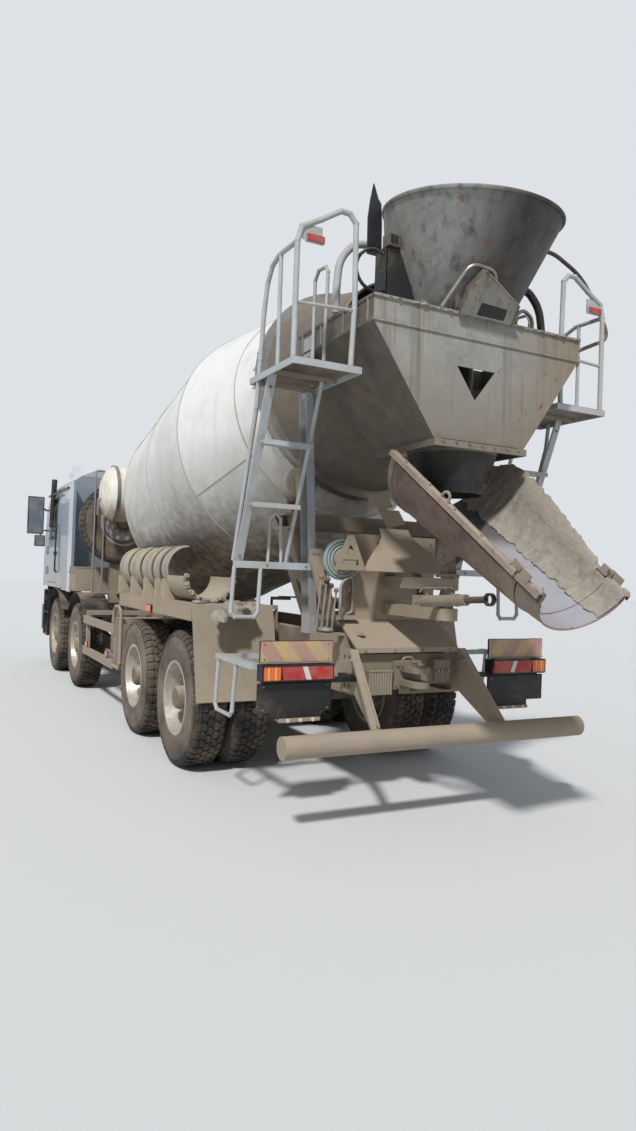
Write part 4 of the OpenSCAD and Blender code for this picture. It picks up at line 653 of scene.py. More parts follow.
# drum: s runs up along its axis, from the mouth to the drive
DRUM_RADII = ((-1470, 570), (-1400, 570), (-900, 780), (480, 1147), (2410, 1147), (2990, 800), (3100, 600),
              (3165, 320), (3190, 0))
DRUM_STOPS = (-1460, -1400, -1200, -1000, -900, -800, -620, -400, -150, 100, 300, 470, 480, 490, 800, 1200,
              1600, 2000, 2400, 2410, 2420, 2600, 2800, 2980, 2990, 3060, 3100, 3130, 3165, 3180)
DRUM_STEPS = 144
DUST_AND_SHADE_LINE = -620
WAVES_FROM, WAVES_TO = -1400, 3000
BLADE_STEPS, BLADE_STEP, BLADE_TURN = 60, 22, 9
RING_SEAMS = (-340, 480, 2410, 1500)
PLATE_SEAMS = ((118, 480, 2410), (298, 480, 2410), (60, -340, 480), (200, -340, 480), (20, 2410, 2960),
               (200, 2410, 2960))


def drum_radius(s):
    return between(DRUM_RADII, s)


def build_drum(look):
    """The rolled plates and their welds, the roller ring, the mouth and the blades inside it."""
    shape = Shape(look, ON_DRUM)
    steps, verts, faces = DRUM_STEPS, [], []
    waves = bpy.context.scene.truck_sizes.drum_waves * 1000
    for s in DRUM_STOPS:
        for i in range(steps):
            a = 2 * math.pi * i / steps
            wave = waves * noise.noise(Vector((math.cos(a) * 2.2, math.sin(a) * 2.2, s / 420)))
            r = max(drum_radius(s) - 2 + wave * (1 if WAVES_FROM < s < WAVES_TO else 0), 1)
            verts.append((r * math.cos(a), r * math.sin(a), s))
    for k in range(len(DRUM_STOPS) - 1):
        for i in range(steps):
            j = (i + 1) % steps
            faces.append([k * steps + i, k * steps + j, (k + 1) * steps + j, (k + 1) * steps + i])
    # From the mouth to this line the drum takes the dark rear finish: dust together with painted shade.
    cut = DRUM_STOPS.index(DUST_AND_SHADE_LINE) * steps
    shape.add(verts, faces[:cut], "drum_rear")
    shape.add(verts, faces[cut:], "drum")
    shape.turned([(300, 3140), (200, 3145), (200, 3254), (60, 3254)], "steel")
    # roller ring with the gussets behind it
    shape.turned([(786, -750), (880, -745), (882, -741), (882, -659), (880, -655), (790, -650)], "steel",
                 steps=steps)
    for k in range(36):
        gusset = ((840, -652), (876, -652), (drum_radius(-560) - 2, -560))
        corners = [(r * math.cos(a), r * math.sin(a), s)
                   for a in (math.radians(10 * k) + d for d in (-0.005, 0.005)) for r, s in gusset]
        shape.add(corners, [[0, 1, 2], [3, 5, 4], [0, 3, 4, 1], [1, 4, 5, 2], [0, 2, 5, 3]], "drum")
    # mouth: rolled lip and the inner skin with its two spiral blades
    shape.turned([(552, -1440), (560, -1466), (572, -1470), (578, -1462), (574, -1446)], "steel", steps=96)
    shape.turned([(558, -1460), (558, -1400), (768, -900), (1000, -20)], "drum_rear", steps=96)
    for blade in (0, 180):
        rows = []
        for k in range(BLADE_STEPS):
            s, a = -1440 + BLADE_STEP * k, math.radians(blade + BLADE_TURN * k)
            outer = drum_radius(s) - 12
            rows.append([(r * math.cos(a), r * math.sin(a), s) for r in (outer, outer - 150, outer - 300)])
        shape.sheet(rows, "drum_rear")
    shape.make("drum_skin", "drum", ["drum"], recalc=False)
    # weld seams round the drum and along its plates
    shape = Shape(look, ON_DRUM)
    for s in RING_SEAMS:
        r = drum_radius(s)
        shape.turned([(r - 4, s - 9), (r + 1.5, s - 5), (r + 2.5, s), (r + 1.5, s + 5), (r - 4, s + 9)],
                     "weld", steps=steps)
    for a, start, end in PLATE_SEAMS:
        rows = []
        for k in range(13):
            s = start + (end - start) * k / 12
            r = drum_radius(s)
            rows.append([((r + h) * math.cos(math.radians(a) + d), (r + h) * math.sin(math.radians(a) + d), s)
                         for d, h in ((-0.006, -4), (-0.003, 1.5), (0, 2.2), (0.003, 1.5), (0.006, -4))])
        shape.sheet(rows, "weld")
    shape.make("drum_welds", "drum")


# finishes of the frame's own pieces
NODE_FINISH = {
    "frame": "frame", "steer_axles": "axle", "drive_axles": "axle", "powertrain": "engine",
    "side_tanks": "frame", "guard_rails": "fender", "rear_mudguards": "fender", "rear_lamps": "blank",
    "rear_pedestal": "pedestal", "drum_drive": "grey_paint", "hopper": "hopper", "funnel": "funnel",
    "ladders": "pipe_blue", "water_tank": "tank", "spare_wheel": "rubber", "stored_chutes": "caked",
    "wash_hose": "hose", "drum": "drum", "roller_left": "steel", "roller_right": "steel",
    "chute_pivot": "pedestal", "chute": "chute", "chute_end": "chute", "lift_cylinder": "pedestal",
    "lift_rod": "black", "cab_shell": "cab", "cab_glass": "glass", "door_left": "cab", "door_right": "cab",
    "door_glass_left": "glass", "door_glass_right": "glass", "cab_interior": "trim", "mirrors": "black",
    "cab_front": "black", "front_bumper": "fairing", "mudguards": "black", "drive_trestle": "pedestal",
    "rear_beam": "pedestal", "hopper_posts": "post", "rear_deck": "fender", "cab_steps": "black",
    "tool_box": "fender",
}


def build_node_finishes(look):
    """Gives each of the frame's own nodes its finish; knuckles are painted as the axles are."""
    for name, node in frame["nodes"].items():
        word = NODE_FINISH.get(name) or ("axle" if name.startswith("knuckle") else "rubber")
        node.data.materials.clear()
        node.data.materials.append(look[word])


# stage
FLOOR_REACH = 60.0
LIGHT_STRENGTH = 0.58
SUN_STRENGTH, SUN_ANGLE = 3.2, math.radians(5)
SUN_HEADING = (0.5, -0.42, -0.72)


def build_stage():
    """The pale floor, the soft light of the world and a wide sun."""
    scene = bpy.context.scene
    scene.view_settings.view_transform = "Standard"
    floor_mesh = bpy.data.meshes.new("floor")
    corners = [(x * FLOOR_REACH, y * FLOOR_REACH, 0) for x, y in ((-1, -1), (1, -1), (1, 1), (-1, 1))]
    floor_mesh.from_pydata(corners, [], [(0, 1, 2, 3)])
    floor = bpy.data.objects.new("floor", floor_mesh)
    scene.collection.objects.link(floor)
    pale = bpy.data.materials.new("pale_floor")
    pale.use_nodes = True
    shader = pale.node_tree.nodes["Principled BSDF"]
    shader.inputs["Base Color"].default_value = shade(206, 206, 204)
    shader.inputs["Roughness"].default_value = 0.9
    floor_mesh.materials.append(pale)
    world = bpy.data.worlds.new("soft_world")
    world.use_nodes = True
    tree = world.node_tree
    light = tree.nodes["Background"]
    light.inputs["Color"].default_value = shade(206, 214, 226)
    light.inputs["Strength"].default_value = LIGHT_STRENGTH
    seen = tree.nodes.new("ShaderNodeBackground")
    seen.inputs["Color"].default_value = shade(222, 226, 230)
    seen.inputs["Strength"].default_value = 1.0
    path, mixer = tree.nodes.new("ShaderNodeLightPath"), tree.nodes.new("ShaderNodeMixShader")
    seen_by = path.outputs["Is Camera Ray"]
    for ray in ("Is Glossy Ray", "Is Transmission Ray"):
        either = tree.nodes.new("ShaderNodeMath")
        either.operation = "MAXIMUM"
        tree.links.new(seen_by, either.inputs[0])
        tree.links.new(path.outputs[ray], either.inputs[1])
        seen_by = either.outputs[0]
    tree.links.new(seen_by, mixer.inputs["Fac"])
    tree.links.new(light.outputs["Background"], mixer.inputs[1])
    tree.links.new(seen.outputs["Background"], mixer.inputs[2])
    tree.links.new(mixer.outputs["Shader"], tree.nodes["World Output"].inputs["Surface"])
    scene.world = world
    sun = bpy.data.lights.new("sun", "SUN")
    sun.energy, sun.angle = SUN_STRENGTH, SUN_ANGLE
    lamp = bpy.data.objects.new("sun", sun)
    lamp.rotation_euler = Vector(SUN_HEADING).to_track_quat("-Z", "Y").to_euler()
    scene.collection.objects.link(lamp)


# camera, for a frame of 636 by 1131 pixels
CAMERA_AT = (-6136, 3125, 1600)
YAW, PITCH, ROLL = 0.4773, 0.0106, 0.0358
FOCAL, FRAME_WIDTH = 774.7, 636
SENSOR = 36.0


def build_camera():
    """The photograph's camera: its place, aim and field of view."""
    yaw, pitch, roll = YAW, PITCH, ROLL
    aim = Vector((math.cos(yaw) * math.cos(pitch), -math.sin(yaw) * math.cos(pitch), math.sin(pitch)))
    right = Vector((-math.sin(yaw), -math.cos(yaw), 0))
    top = right.cross(aim)
    c, s = math.cos(roll), math.sin(roll)
    right, top = c * right + s * top, -s * right + c * top
    camera = bpy.data.objects.new("camera", bpy.data.cameras.new("camera"))
    camera.data.sensor_fit = "HORIZONTAL"
    camera.data.sensor_width = SENSOR
    camera.data.lens = SENSOR * FOCAL / FRAME_WIDTH
    camera.data.clip_end = 500
    turned = Matrix((right, top, -aim)).transposed().to_4x4()
    camera.matrix_world = Matrix.Translation(CHASSIS @ Vector(CAMERA_AT)) @ turned
    bpy.context.scene.collection.objects.link(camera)
    bpy.context.scene.camera = camera


# Wash hose
HOSE_R = 10
HOSE_AT = (-1384, 480, 1705)
HOSE_LAYERS = (93, 114, 135)
HOSE_TURNS = 2.25


def hose_route():
    """The hose's centre line in metres: out of its elbow, three layers round the hub, then hanging down."""
    x0, y0, z0 = HOSE_AT
    points = [(x0 + 24, y0 + HOSE_LAYERS[0], z0 - 150 + 25 * k) for k in range(6)]
    steps, angle, pitch = 24, 0.0, 21.5
    x, way = x0 + 24, -1
    radius = HOSE_LAYERS[0]
    for index, layer in enumerate(HOSE_LAYERS):
        count = int(HOSE_TURNS * steps)
        for k in range(count):
            ease = min(k / 6, 1.0)
            radius = (HOSE_LAYERS[index - 1] if index else layer) * (1 - ease) + layer * ease
            if ease >= 1.0 or not index:
                x += way * pitch / steps
            a = math.radians(angle)
            points.append((x, y0 + radius * math.cos(a), z0 + radius * math.sin(a)))
            angle += 360 / steps
        way = -way
    a = math.radians(angle - 360 / steps)
    last = points[-1]
    along = Vector((0, -math.sin(a), math.cos(a)))
    down, here = Vector((0, 0, -1)), Vector(last)
    for k in range(1, 11):
        heading = (along * max(1 - k / 5, 0) + down * min(k / 5, 1)).normalized()
        here = here + heading * 22
        points.append(tuple(here))
    return [CHASSIS @ Vector(p) for p in points]


def build_hose(look):
    """The free wash hose as a cord, with its nozzle and its elbow."""
    route = hose_route()
    line = bpy.data.curves.new("wash_hose_line", "CURVE")
    line.dimensions = "3D"
    line.bevel_depth, line.bevel_resolution = HOSE_R / 1000, 3
    line.use_fill_caps = True
    spline = line.splines.new("POLY")
    spline.points.add(len(route) - 1)
    for point, place in zip(spline.points, route):
        point.co = (*place, 1.0)
    hose = bpy.data.objects.new("wash_hose_coil", line)
    bpy.context.scene.collection.objects.link(hose)
    line.materials.append(look["hose"])
    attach(hose, "chassis")
    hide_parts("wash_hose")
    shape = Shape(look)
    end = [CHASSIS.inverted() @ p for p in route[-3:]]
    away = (end[-1] - end[0]).normalized()
    tip = end[-1] - away * 14
    shape.rod(tip, tip + away * 34, 14, "steel")
    shape.rod(tip + away * 30, tip + away * 86, 9, "nut")
    shape.rod(tip + away * 84, tip + away * 96, 12, "steel")
    nozzle = shape.make("wash_hose_nozzle", "chassis")
    start = CHASSIS.inverted() @ route[0]
    shape = Shape(look)
    shape.pipe([start + Vector((0, 0, 22)), start + Vector((0, 0, -40)), start + Vector((50, 0, -40))], 13,
               "steel", bend=18)
    shape.bolt(start + Vector((0, 0, -2)), (0, 0, 1), 19, "nut", height=22)
    shape.make("wash_hose_elbow", "chassis")


# Lumps of dried concrete
LUMP_ROWS, LUMP_SIDES = 9, 16


def lump(shape, at, size, seed):
    """One rough lump: a ball pushed in and out by noise, flat where it rests."""
    rows, sides = LUMP_ROWS, LUMP_SIDES
    size = [part * bpy.context.scene.truck_sizes.lump_size for part in size]
    verts = []
    for i in range(rows):
        for j in range(sides):
            a, b = math.pi * i / (rows - 1), 2 * math.pi * j / sides
            d = Vector((math.sin(a) * math.cos(b), math.sin(a) * math.sin(b), math.cos(a)))
            wide, fine = Vector((seed, seed * 2, 0)), Vector((seed, 0, 3))
            r = 0.82 + 0.34 * noise.noise(d * 1.9 + wide) + 0.12 * noise.noise(d * 6 + fine)
            d.z = max(d.z, -0.35)
            verts.append([centre + part * r * reach for centre, part, reach in zip(at, d, size)])
    faces = [[low + j, low + (j + 1) % sides, low + sides + (j + 1) % sides, low + sides + j]
             for low in range(0, (rows - 1) * sides, sides) for j in range(sides)]
    shape.add(verts, faces, "crust")


LUMPS = (  # x, y, z, half length, half width, half height
    (-560, 980, 1285, 150, 150, 90), (-640, 1090, 1240, 90, 90, 80), (-520, 830, 1300, 120, 80, 55),
    (-1330, 560, 1205, 60, 70, 26), (-1420, 330, 1180, 60, 40, 20), (-1500, -330, 1112, 40, 60, 16),
    (-1600, 470, 1020, 30, 60, 18), (-330, 700, 1335, 90, 70, 24), (-200, 1120, 1338, 110, 60, 20),
    (300, 900, 1338, 100, 90, 18), (-1630, -430, 1010, 40, 50, 22),
)


def build_lumps(look):
    """Lumps that lie on the guards, the deck and the rear beam."""
    shape = Shape(look)
    for k, (x, y, z, a, b, c) in enumerate(LUMPS):
        lump(shape, (x, y, z), (a, b, c), k * 1.7)
    shape.make("concrete_lumps", "chassis")


# Chute: s runs down along the trough, y across it and z out of its floor
TROUGH_RISE = 150
TROUGH_TOP, TROUGH_END, TAIL_START, TAIL_END = -160, 1074, 1086, 1262
HALF_WIDTH = ((TROUGH_TOP, 450), (TROUGH_END, 372), (TAIL_START, 370), (TAIL_END, 356))
DEPTH = ((TROUGH_TOP, 450), (TROUGH_END, 300), (TAIL_START, 292), (TAIL_END, 256))
SPLASH_WALL = ((TROUGH_TOP, 0), (-20, 92), (120, 116), (420, 100), (900, 36), (1060, 6), (TAIL_END, 10))
PLATE = 8
RIM_SECTION = ((-4, 0), (41, 0), (41, -34), (34, -34), (34, -8), (1, -8), (1, -44), (-4, -44))
RIM_SHADE = ((33.5, -33), (33.5, -8.6), (1.6, -8.6), (1.2, -64))
TILT_PIN = ON_CHUTE.inverted() @ Vector(JOINTS["chute_tilt"]["pos_m"])
FOLD_PIN = ON_CHUTE.inverted() @ Vector(JOINTS["chute_fold"]["pos_m"])
EYE = (950, -151)
EYE_Y = 300
EYE_RING = 395
SIDE_SPATTER = ((60, 1, 46), (400, 1, 34), (700, 1, 50), (980, 1, 38), (220, -1, 52), (820, -1, 42))
RIM_SPATTER = ((905, 34), (960, 50), (1020, 44), (1052, 30))


def trough_row(s, inset, low, high, steps, waves=0.0, seed=0.0):
    """Points across the trough at s, from a low to a high angle, with waves as rough concrete has."""
    row = []
    half, deep = between(HALF_WIDTH, s) - inset, between(DEPTH, s) - inset
    for k in range(steps + 1):
        a = math.radians(low + (high - low) * k / steps)
        rough = waves * noise.noise(Vector((s / 60, a * 4, seed)))
        rough += waves * 0.5 * noise.noise(Vector((s / 18, a * 13, seed)))
        row.append((s, (half - rough) * math.sin(a), TROUGH_RISE - (deep - rough) * math.cos(a)))
    return row


def trough_under(s, y):
    """Height of the trough's underside."""
    return TROUGH_RISE - between(DEPTH, s) * math.sqrt(1 - (y / between(HALF_WIDTH, s)) ** 2)


def stations(start, end, step):
    """Even stations from start to end, about a step apart."""
    count = max(round((end - start) / step), 1)
    return [start + (end - start) * k / count for k in range(count + 1)]


def trough_plate(shape, start, end):
    """The rolled plate with a folded rim along each side, and a dark sheet of painted shade under each rim.
    """
    rows = [trough_row(s, 0, -90, 90, 40) + trough_row(s, PLATE, 90, -90, 40)
            for s in stations(start, end, 120)]
    shape.sheet(rows, "chute", wrap=True)
    count = len(rows[0])
    for row in (rows[0], rows[-1]):
        shape.add(row, [[i, i + 1, count - 2 - i, count - 1 - i] for i in range(count // 2 - 1)], "chute")
    for side in (-1, 1):
        rows, under = [[[(s, side * (between(HALF_WIDTH, s) + y), TROUGH_RISE + z) for y, z in section]
                        for s in (start, end)] for section in (RIM_SECTION, RIM_SHADE)]
        shape.sheet(rows, "dusty_steel", wrap=True)
        for row in rows:
            shape.add(row, [[0, 1, 4, 5], [1, 2, 3, 4], [0, 5, 6, 7]], "dusty_steel")
        # Dark sheet under the flange, inside its lip and down the wall below: painted shade.
        shape.sheet(under, "painted_rim_shade")


def fold_ears(shape, start, end, low, high):
    """Eye plates of the fold on both rims, between two places across the trough."""
    for side, word in ((-1, "dusty_steel"), (1, "crust")):
        near, far = sorted((side * low, side * high))
        shape.box((start, near, TROUGH_RISE - 1), (end, far, FOLD_PIN.z + 18), word)
        shape.turned([(0, 0), (20, 0), (20, high - low), (0, high - low)], word,
                     shift(FOLD_PIN.x, near, FOLD_PIN.z) @ turn("X", -90), 24)


def underside_lug(shape, y, thick, at, foot, spread):
    """A plate that hangs from the trough's underside down to a pin."""
    s, z = at
    top = max(trough_under(s, y), trough_under(s, y + thick)) + 2
    outline = [(s - foot, z - foot), (s + foot, z - foot), (s + spread, top), (s - spread, top)]
    shape.prism(outline, 0, thick, "chute", shift(0, y + thick, 0) @ turn("X", 90))


def trough_lining(shape, start, end, inset):
    """The wet floor between the dried concrete of the two walls."""
    span = stations(start, end, 20)
    shape.sheet([trough_row(s, inset, -60, 62, 36, 1.5, 4.0) for s in span], "wet")
    for low, high, seed in ((-87, -56, 7.0), (46, 88, 12.0)):
        rows = []
        for s in stations(start, end, 9):
            ragged = 5 * noise.noise(Vector((s / 70, seed, 0))) + 2.5 * noise.noise(Vector((s / 11, seed, 5)))
            edges = low + (ragged if low > 0 else 0), high + (ragged if low < 0 else 0)
            tuck = trough_row(s, inset - 1, *edges, 1)
            rows.append([tuck[0]] + trough_row(s, inset + 10, *edges, 18, 9, seed) + [tuck[1]])
        shape.sheet(rows, "crust")


def rim_crust(shape, start, end, side, share):
    """Ragged concrete that stands on the rim as the splashes built it up."""
    rows, span = [], stations(start, end, 9)
    for k, s in enumerate(span):
        ends = min(k / 5, (len(span) - 1 - k) / 5, 1)
        ragged = 16 * noise.noise(Vector((s / 46, side, 2))) + 9 * noise.noise(Vector((s / 12, side, 8)))
        tall = max(between(SPLASH_WALL, s) * share + 6 + ragged, 3) * ends
        spill = (24 + 14 * noise.noise(Vector((s / 30, side, 4)))) * ends
        wall = between(HALF_WIDTH, s)
        section = ((-30, -120), (-27, -60), (-24, -12), (-16 + tall * 0.06, tall * 0.6),
                   (-4 + tall * 0.12, tall), (6 + tall * 0.14, tall * 0.96),
                   (12 + tall * 0.1, tall * 0.5), (12 + spill, 3 * ends), (13 + spill, -3))
        row = []
        for y, z in section:
            grain = 1.5 * noise.noise(Vector((s / 7, z / 20, side)))
            row.append((s, side * (wall + y + grain), TROUGH_RISE + z))
        rows.append(row)
    shape.sheet(rows, "crust")


def build_chute(look):
    """The trough and its folding end, the concrete in both, and the ribs, bolts and eye outside."""
    shape = Shape(look, ON_CHUTE)
    trough_plate(shape, TROUGH_TOP, TROUGH_END)
    fold_ears(shape, 1010, 1072, 380, 394)
    for y in (-54, 40):
        underside_lug(shape, y, 14, (TILT_PIN.x, TILT_PIN.z), 44, 110)
    for y in (EYE_Y - 29, EYE_Y + 19):
        underside_lug(shape, y, 10, EYE, 25, 60)
    shape.rod((EYE[0], EYE_Y - 24, EYE[1]), (EYE[0], EYE_Y + 24, EYE[1]), 10, "steel")
    collar = ((TROUGH_TOP, -1), (TROUGH_TOP, -8), (TROUGH_TOP + 42, -8), (TROUGH_TOP + 42, -1))
    shape.sheet([trough_row(s, inset, -87, 87, 40) for s, inset in collar], "dusty_steel")
    shape.make("chute_trough", "chute", ["chute"])
    shape = Shape(look, ON_CHUTE)
    trough_plate(shape, TAIL_START, TAIL_END)
    fold_ears(shape, FOLD_PIN.x + 8, FOLD_PIN.x + 90, 396, 406)
    shape.pipe(trough_row(TAIL_END, 3, -88, 88, 40), 6, "chute", sides=8)
    for side in (-1, 1):
        shape.turned([(0, 0), (9, 0), (9, 30), (16, 30), (16, 39), (6, 42), (0, 42)], "nut",
                     shift(FOLD_PIN.x, side * 375, FOLD_PIN.z) @ turn("X", -90 * side), 20)
    shape.make("chute_tail", "chute_end", ["chute_end"])
    for name, body, start, end, inset in (("chute", "chute", TROUGH_TOP + 2, TAIL_START + 14, 15),
                                          ("chute_tail", "chute_end", TAIL_START + 1, TAIL_END - 3, 9.5)):
        shape = Shape(look, ON_CHUTE)
        trough_lining(shape, start, end, inset)
        if name == "chute":
            rim_crust(shape, TROUGH_TOP + 6, TROUGH_END - 70, 1, 1.0)
            rim_crust(shape, TROUGH_END - 130, TROUGH_END - 70, -1, 0)
        else:
            rim_crust(shape, TAIL_START + 6, TAIL_END, 1, 1.0)
            rim_crust(shape, TAIL_START + 84, TAIL_END, -1, 0)
            for side, size in ((1, (34, 30, 26)), (-1, (30, 34, 30))):
                lump(shape, (TAIL_END - 26, side * 372, TROUGH_RISE + 2), size, side * 2.3 + 4)
        shape.make(f"{name}_lining", body, recalc=False)
    shape = Shape(look, ON_CHUTE)
    for side in (-1, 1):
        for s in stations(-40, 980, 255):
            wall = between(HALF_WIDTH, s)
            shape.side_box(side, (s - 5, wall + 1, TROUGH_RISE - 34), (s + 5, wall + 34, TROUGH_RISE - 8),
                           "dusty_steel")
            shape.bolt((s + 30, side * (wall + 20), TROUGH_RISE), (0, 0, 1), 9, "nut")
    # patches of dried concrete on the outside of the channel
    for k, (s, side, size) in enumerate(SIDE_SPATTER):
        lump(shape, (s, side * (between(HALF_WIDTH, s) + 14), TROUGH_RISE - 4), (size, 20, 12), k * 3.1 + 5)
    for k, (s, size) in enumerate(RIM_SPATTER):
        lump(shape, (s, -between(HALF_WIDTH, s) - 24, TROUGH_RISE - 26), (size, 18, 26), k * 2.7 + 3)
    # lifting eye on the near rim
    wall = -between(HALF_WIDTH, EYE_RING) - 16
    shape.pipe([(EYE_RING + 36 * math.cos(a), wall, TROUGH_RISE + 4 + 44 * math.sin(a))
                for a in (math.pi * k / 10 for k in range(11))], 9, "dusty_steel")
    shape.make("chute_ribs", "chute")


def build_lift(look):
    """Gland, hoses and grease nipples of the chute's cylinder."""
    foot, eye = Vector((-60, 300, 1450)), Vector((-662, 300, 1487))
    way = (eye - foot).normalized()
    shape = Shape(look, AT_SWIVEL)
    for at, r, long in ((330, 38, 26), (48, 37, 10)):
        shape.rod(foot + way * at, foot + way * (at + long), r, "nut", sides=28)
    a, b = foot + way * 80 + Vector((0, 0, 30)), foot + way * 300 + Vector((0, 0, 30))
    for p, q in ((a, a + Vector((0, 0, 16))), (b, b + Vector((0, 0, 16)))):
        shape.rod(p, q, 11, "steel", sides=12)
    shape.pipe([b + Vector((0, 0, 14)), b + Vector((0, 0, 40)), a + Vector((30, 10, 46)),
                a + Vector((40, 30, 20))], 8, "black_hose", bend=30)
    shape.make("lift_cylinder_fittings", "lift_cylinder")


# Rear lamps, boards and plates
LAMP_X = -1660
BOARD_X = -1624.5
LENS_LEAN = 16
LENS_FIELDS = ((888, 1046, "red_lens"), (846, 884, "white_lens"), (678, 842, "red_lens"))


def build_lamps(look):
    """Both rear lamps, the marker boards with the blank plates below, and the amber side lamps."""
    shape = Shape(look)
    for side in (1, -1):
        place, x = on_side(side), LAMP_X
        shape.box((x - 2, 668, 903), (x + 6, 1177, 1012), "black", place)
        # outer end: turn lamp in slats, then two red fields parted by a slanted white one
        for k in range(5):
            y = 1170 - 24 * k
            word = "amber_lens" if k % 2 == 0 else "orange_lens"
            shape.box((x - 10, y - 22, 914), (x - 1, y - 2, 1002), word, place)
        for low, high, word in LENS_FIELDS:
            top_low = low + (LENS_LEAN if low > 700 else 0)
            top_high = high + (LENS_LEAN if high < 1040 else 0)
            shape.prism([(low - LENS_LEAN, 914), (high - LENS_LEAN, 914), (top_high, 1002), (top_low, 1002)],
                        1, 11, word, place @ shift(x, 0, 0) @ FACING_BACK)
        for z in (912, 1004):
            shape.box((x - 13, 670, z - 3), (x - 1, 1175, z + 3), "black", place)
        shape.box((x - 13, 670, 909), (x - 1, 676, 1007), "black", place)
        shape.box((x - 13, 1170, 909), (x - 1, 1175, 1007), "black", place)
    shape.make("rear_lamp_lenses", "chassis")
    shape = Shape(look)
    for side in (1, -1):
        place = on_side(side)
        shape.box((BOARD_X, 660, 1026), (-1621, 1177, 1158), "stripes", place)
        shape.box((-1627, 655, 1016), (-1608, 1183, 1024), "fender", place)
        shape.box((-1625, 664, 704), (-1621, 1186, 886), "blank", place)
        for y in (690, 1150):
            for z in (1044, 1140):
                shape.bolt((-1624, y, z), (-1, 0, 0), 6, "nut", place, 4)
            for z in (722, 868):
                shape.bolt((BOARD_X, y, z), (-1, 0, 0), 7, "nut", place, 4)
        shape.box((-1640, 744, 640), (-1606, 1036, 662), "fender", place)
        for y in (800, 890, 980):
            shape.turned([(13, 0), (13, 10), (0, 12)], "white_lens",
                         place @ shift(-1640, y, 651) @ turn("Y", -90), 16)
    shape.make("marker_boards", "chassis")
    shape = Shape(look)
    for side in (1, -1):
        place = on_side(side)
        shape.box((700, 1240, 1200), (860, 1256, 1270), "black", place)
        shape.box((708, 1255, 1207), (852, 1262, 1263), "amber_lens", place)
        for x in (2420, 3560):
            shape.box((x, 1236, 612), (x + 130, 1246, 672), "black", place)
            shape.box((x + 8, 1245, 618), (x + 122, 1250, 666), "amber_lens", place)
    shape.make("side_marker_lamps", "chassis")


# Rear beam and deck
JAW_X = -1620


def build_rear_beam(look):
    """Ribs and lid of the junction box, bolts and pin of the towing jaw."""
    shape = Shape(look)
    for k in range(9):
        y = 150 + 21.5 * k
        shape.box((-1565, y, 776), (-1559, y + 9, 936), "fender")
    shape.box((-1568, 136, 936), (-1556, 334, 944), "fender")
    for route in ([(-1530, 200, 772), (-1530, 200, 720), (-1440, 240, 690), (-1300, 300, 700)],
                  [(-1530, 270, 772), (-1530, 270, 735), (-1440, 300, 715), (-1300, 330, 720)]):
        shape.pipe(route, 9, "black_hose", bend=40)
    for y in (-90, 90):
        for z in (830, 980):
            shape.bolt((-1540, y, z), (-1, 0, 0), 16, "nut")
    for place in (shift(JAW_X, 0, 978), shift(JAW_X, 0, 832) @ turn("X", 180)):
        shape.turned([(17, 0), (17, 22), (26, 22), (26, 34), (0, 36)], "nut", place, 20)
    shape.pipe([(JAW_X, 0, 1010), (JAW_X, 30, 1042), (JAW_X, 90, 1036), (-1610, 104, 1004)], 8, "steel",
               bend=24)
    for y in (-300, -230):
        for z in (885, 985):
            shape.bolt((-1590, y, z), (-1, 0, 0), 10, "nut")
    for k in range(4):
        y, word = -310 + 30 * k, "red_paint" if k == 1 else "steel"
        shape.rod((-1592, y, 935), (-1612, y, 935), 9, word)
    for side in (1, -1):
        for x, z in ((-1480, 830), (-1420, 830), (-1480, 1040), (-1420, 1040)):
            shape.bolt((x, side * 444, z), (0, side, 0), 13, "nut")
        for z in (596, 640):
            shape.bolt((-1950, side * 494, z), (0, side, 0), 11, "nut")
    shape.make("rear_beam_fittings", "chassis")


def build_deck(look):
    """Bolts, knobs, valves and small pipes round the rear deck."""
    shape = Shape(look)
    for y in (-360, -120, 120, 360):
        for x, z in ((-1552, 1080), (-1264, 1300), (-1264, 1850)):
            shape.bolt((x, y, z), (-1, 0, 0), 9, "nut")
    for k, word in enumerate(("red_paint", "black", "black", "red_paint")):
        shape.turned([(0, -19), (13, -15), (19, 0), (13, 15), (0, 19)], word,
                     shift(-1390, 520 + 40 * k, 1490 + 30 * k), 18)
    for z in (1420, 1500):
        shape.turned([(34, 0), (34, 10), (10, 14), (10, 40), (0, 42)], "red_paint" if z < 1450 else "steel",
                     shift(-1262, 330, z) @ turn("Y", -90), 20)
    shape.pipe([(-1290, 330, 1460), (-1290, 330, 1560), (-1290, 360, 1600), (-1290, 370, 1660)], 13, "steel",
               bend=24)
    shape.pipe([(-1290, 330, 1470), (-1290, 330, 1330), (-1280, 420, 1300)], 13, "steel", bend=24)
    for route in ([(-1275, -260, 1300), (-1275, -260, 1600), (-1275, -120, 1720), (-1275, -100, 1890)],
                  [(-1275, -290, 1300), (-1275, -290, 1590), (-1275, -150, 1760), (-1275, -140, 1890)]):
        shape.pipe(route, 11, "black_hose", bend=60)
    shape.rod((-1290, 610, 1190), (-1290, 650, 1700), 8, "steel")
    for y in (640, 660, 680):
        shape.bolt((-1332, y, 1740), (-1, 0, 0), 7, "nut")
    shape.make("deck_fittings", "chassis")


# Ladders
LADDER_FOOT, LADDER_LEAN = (-1250, 1680), 0.39
PLATFORM_X = -2070


def ladder_x(z):
    """How far back a ladder's front stands at a height."""
    return LADDER_FOOT[0] - LADDER_LEAN * (z - LADDER_FOOT[1])


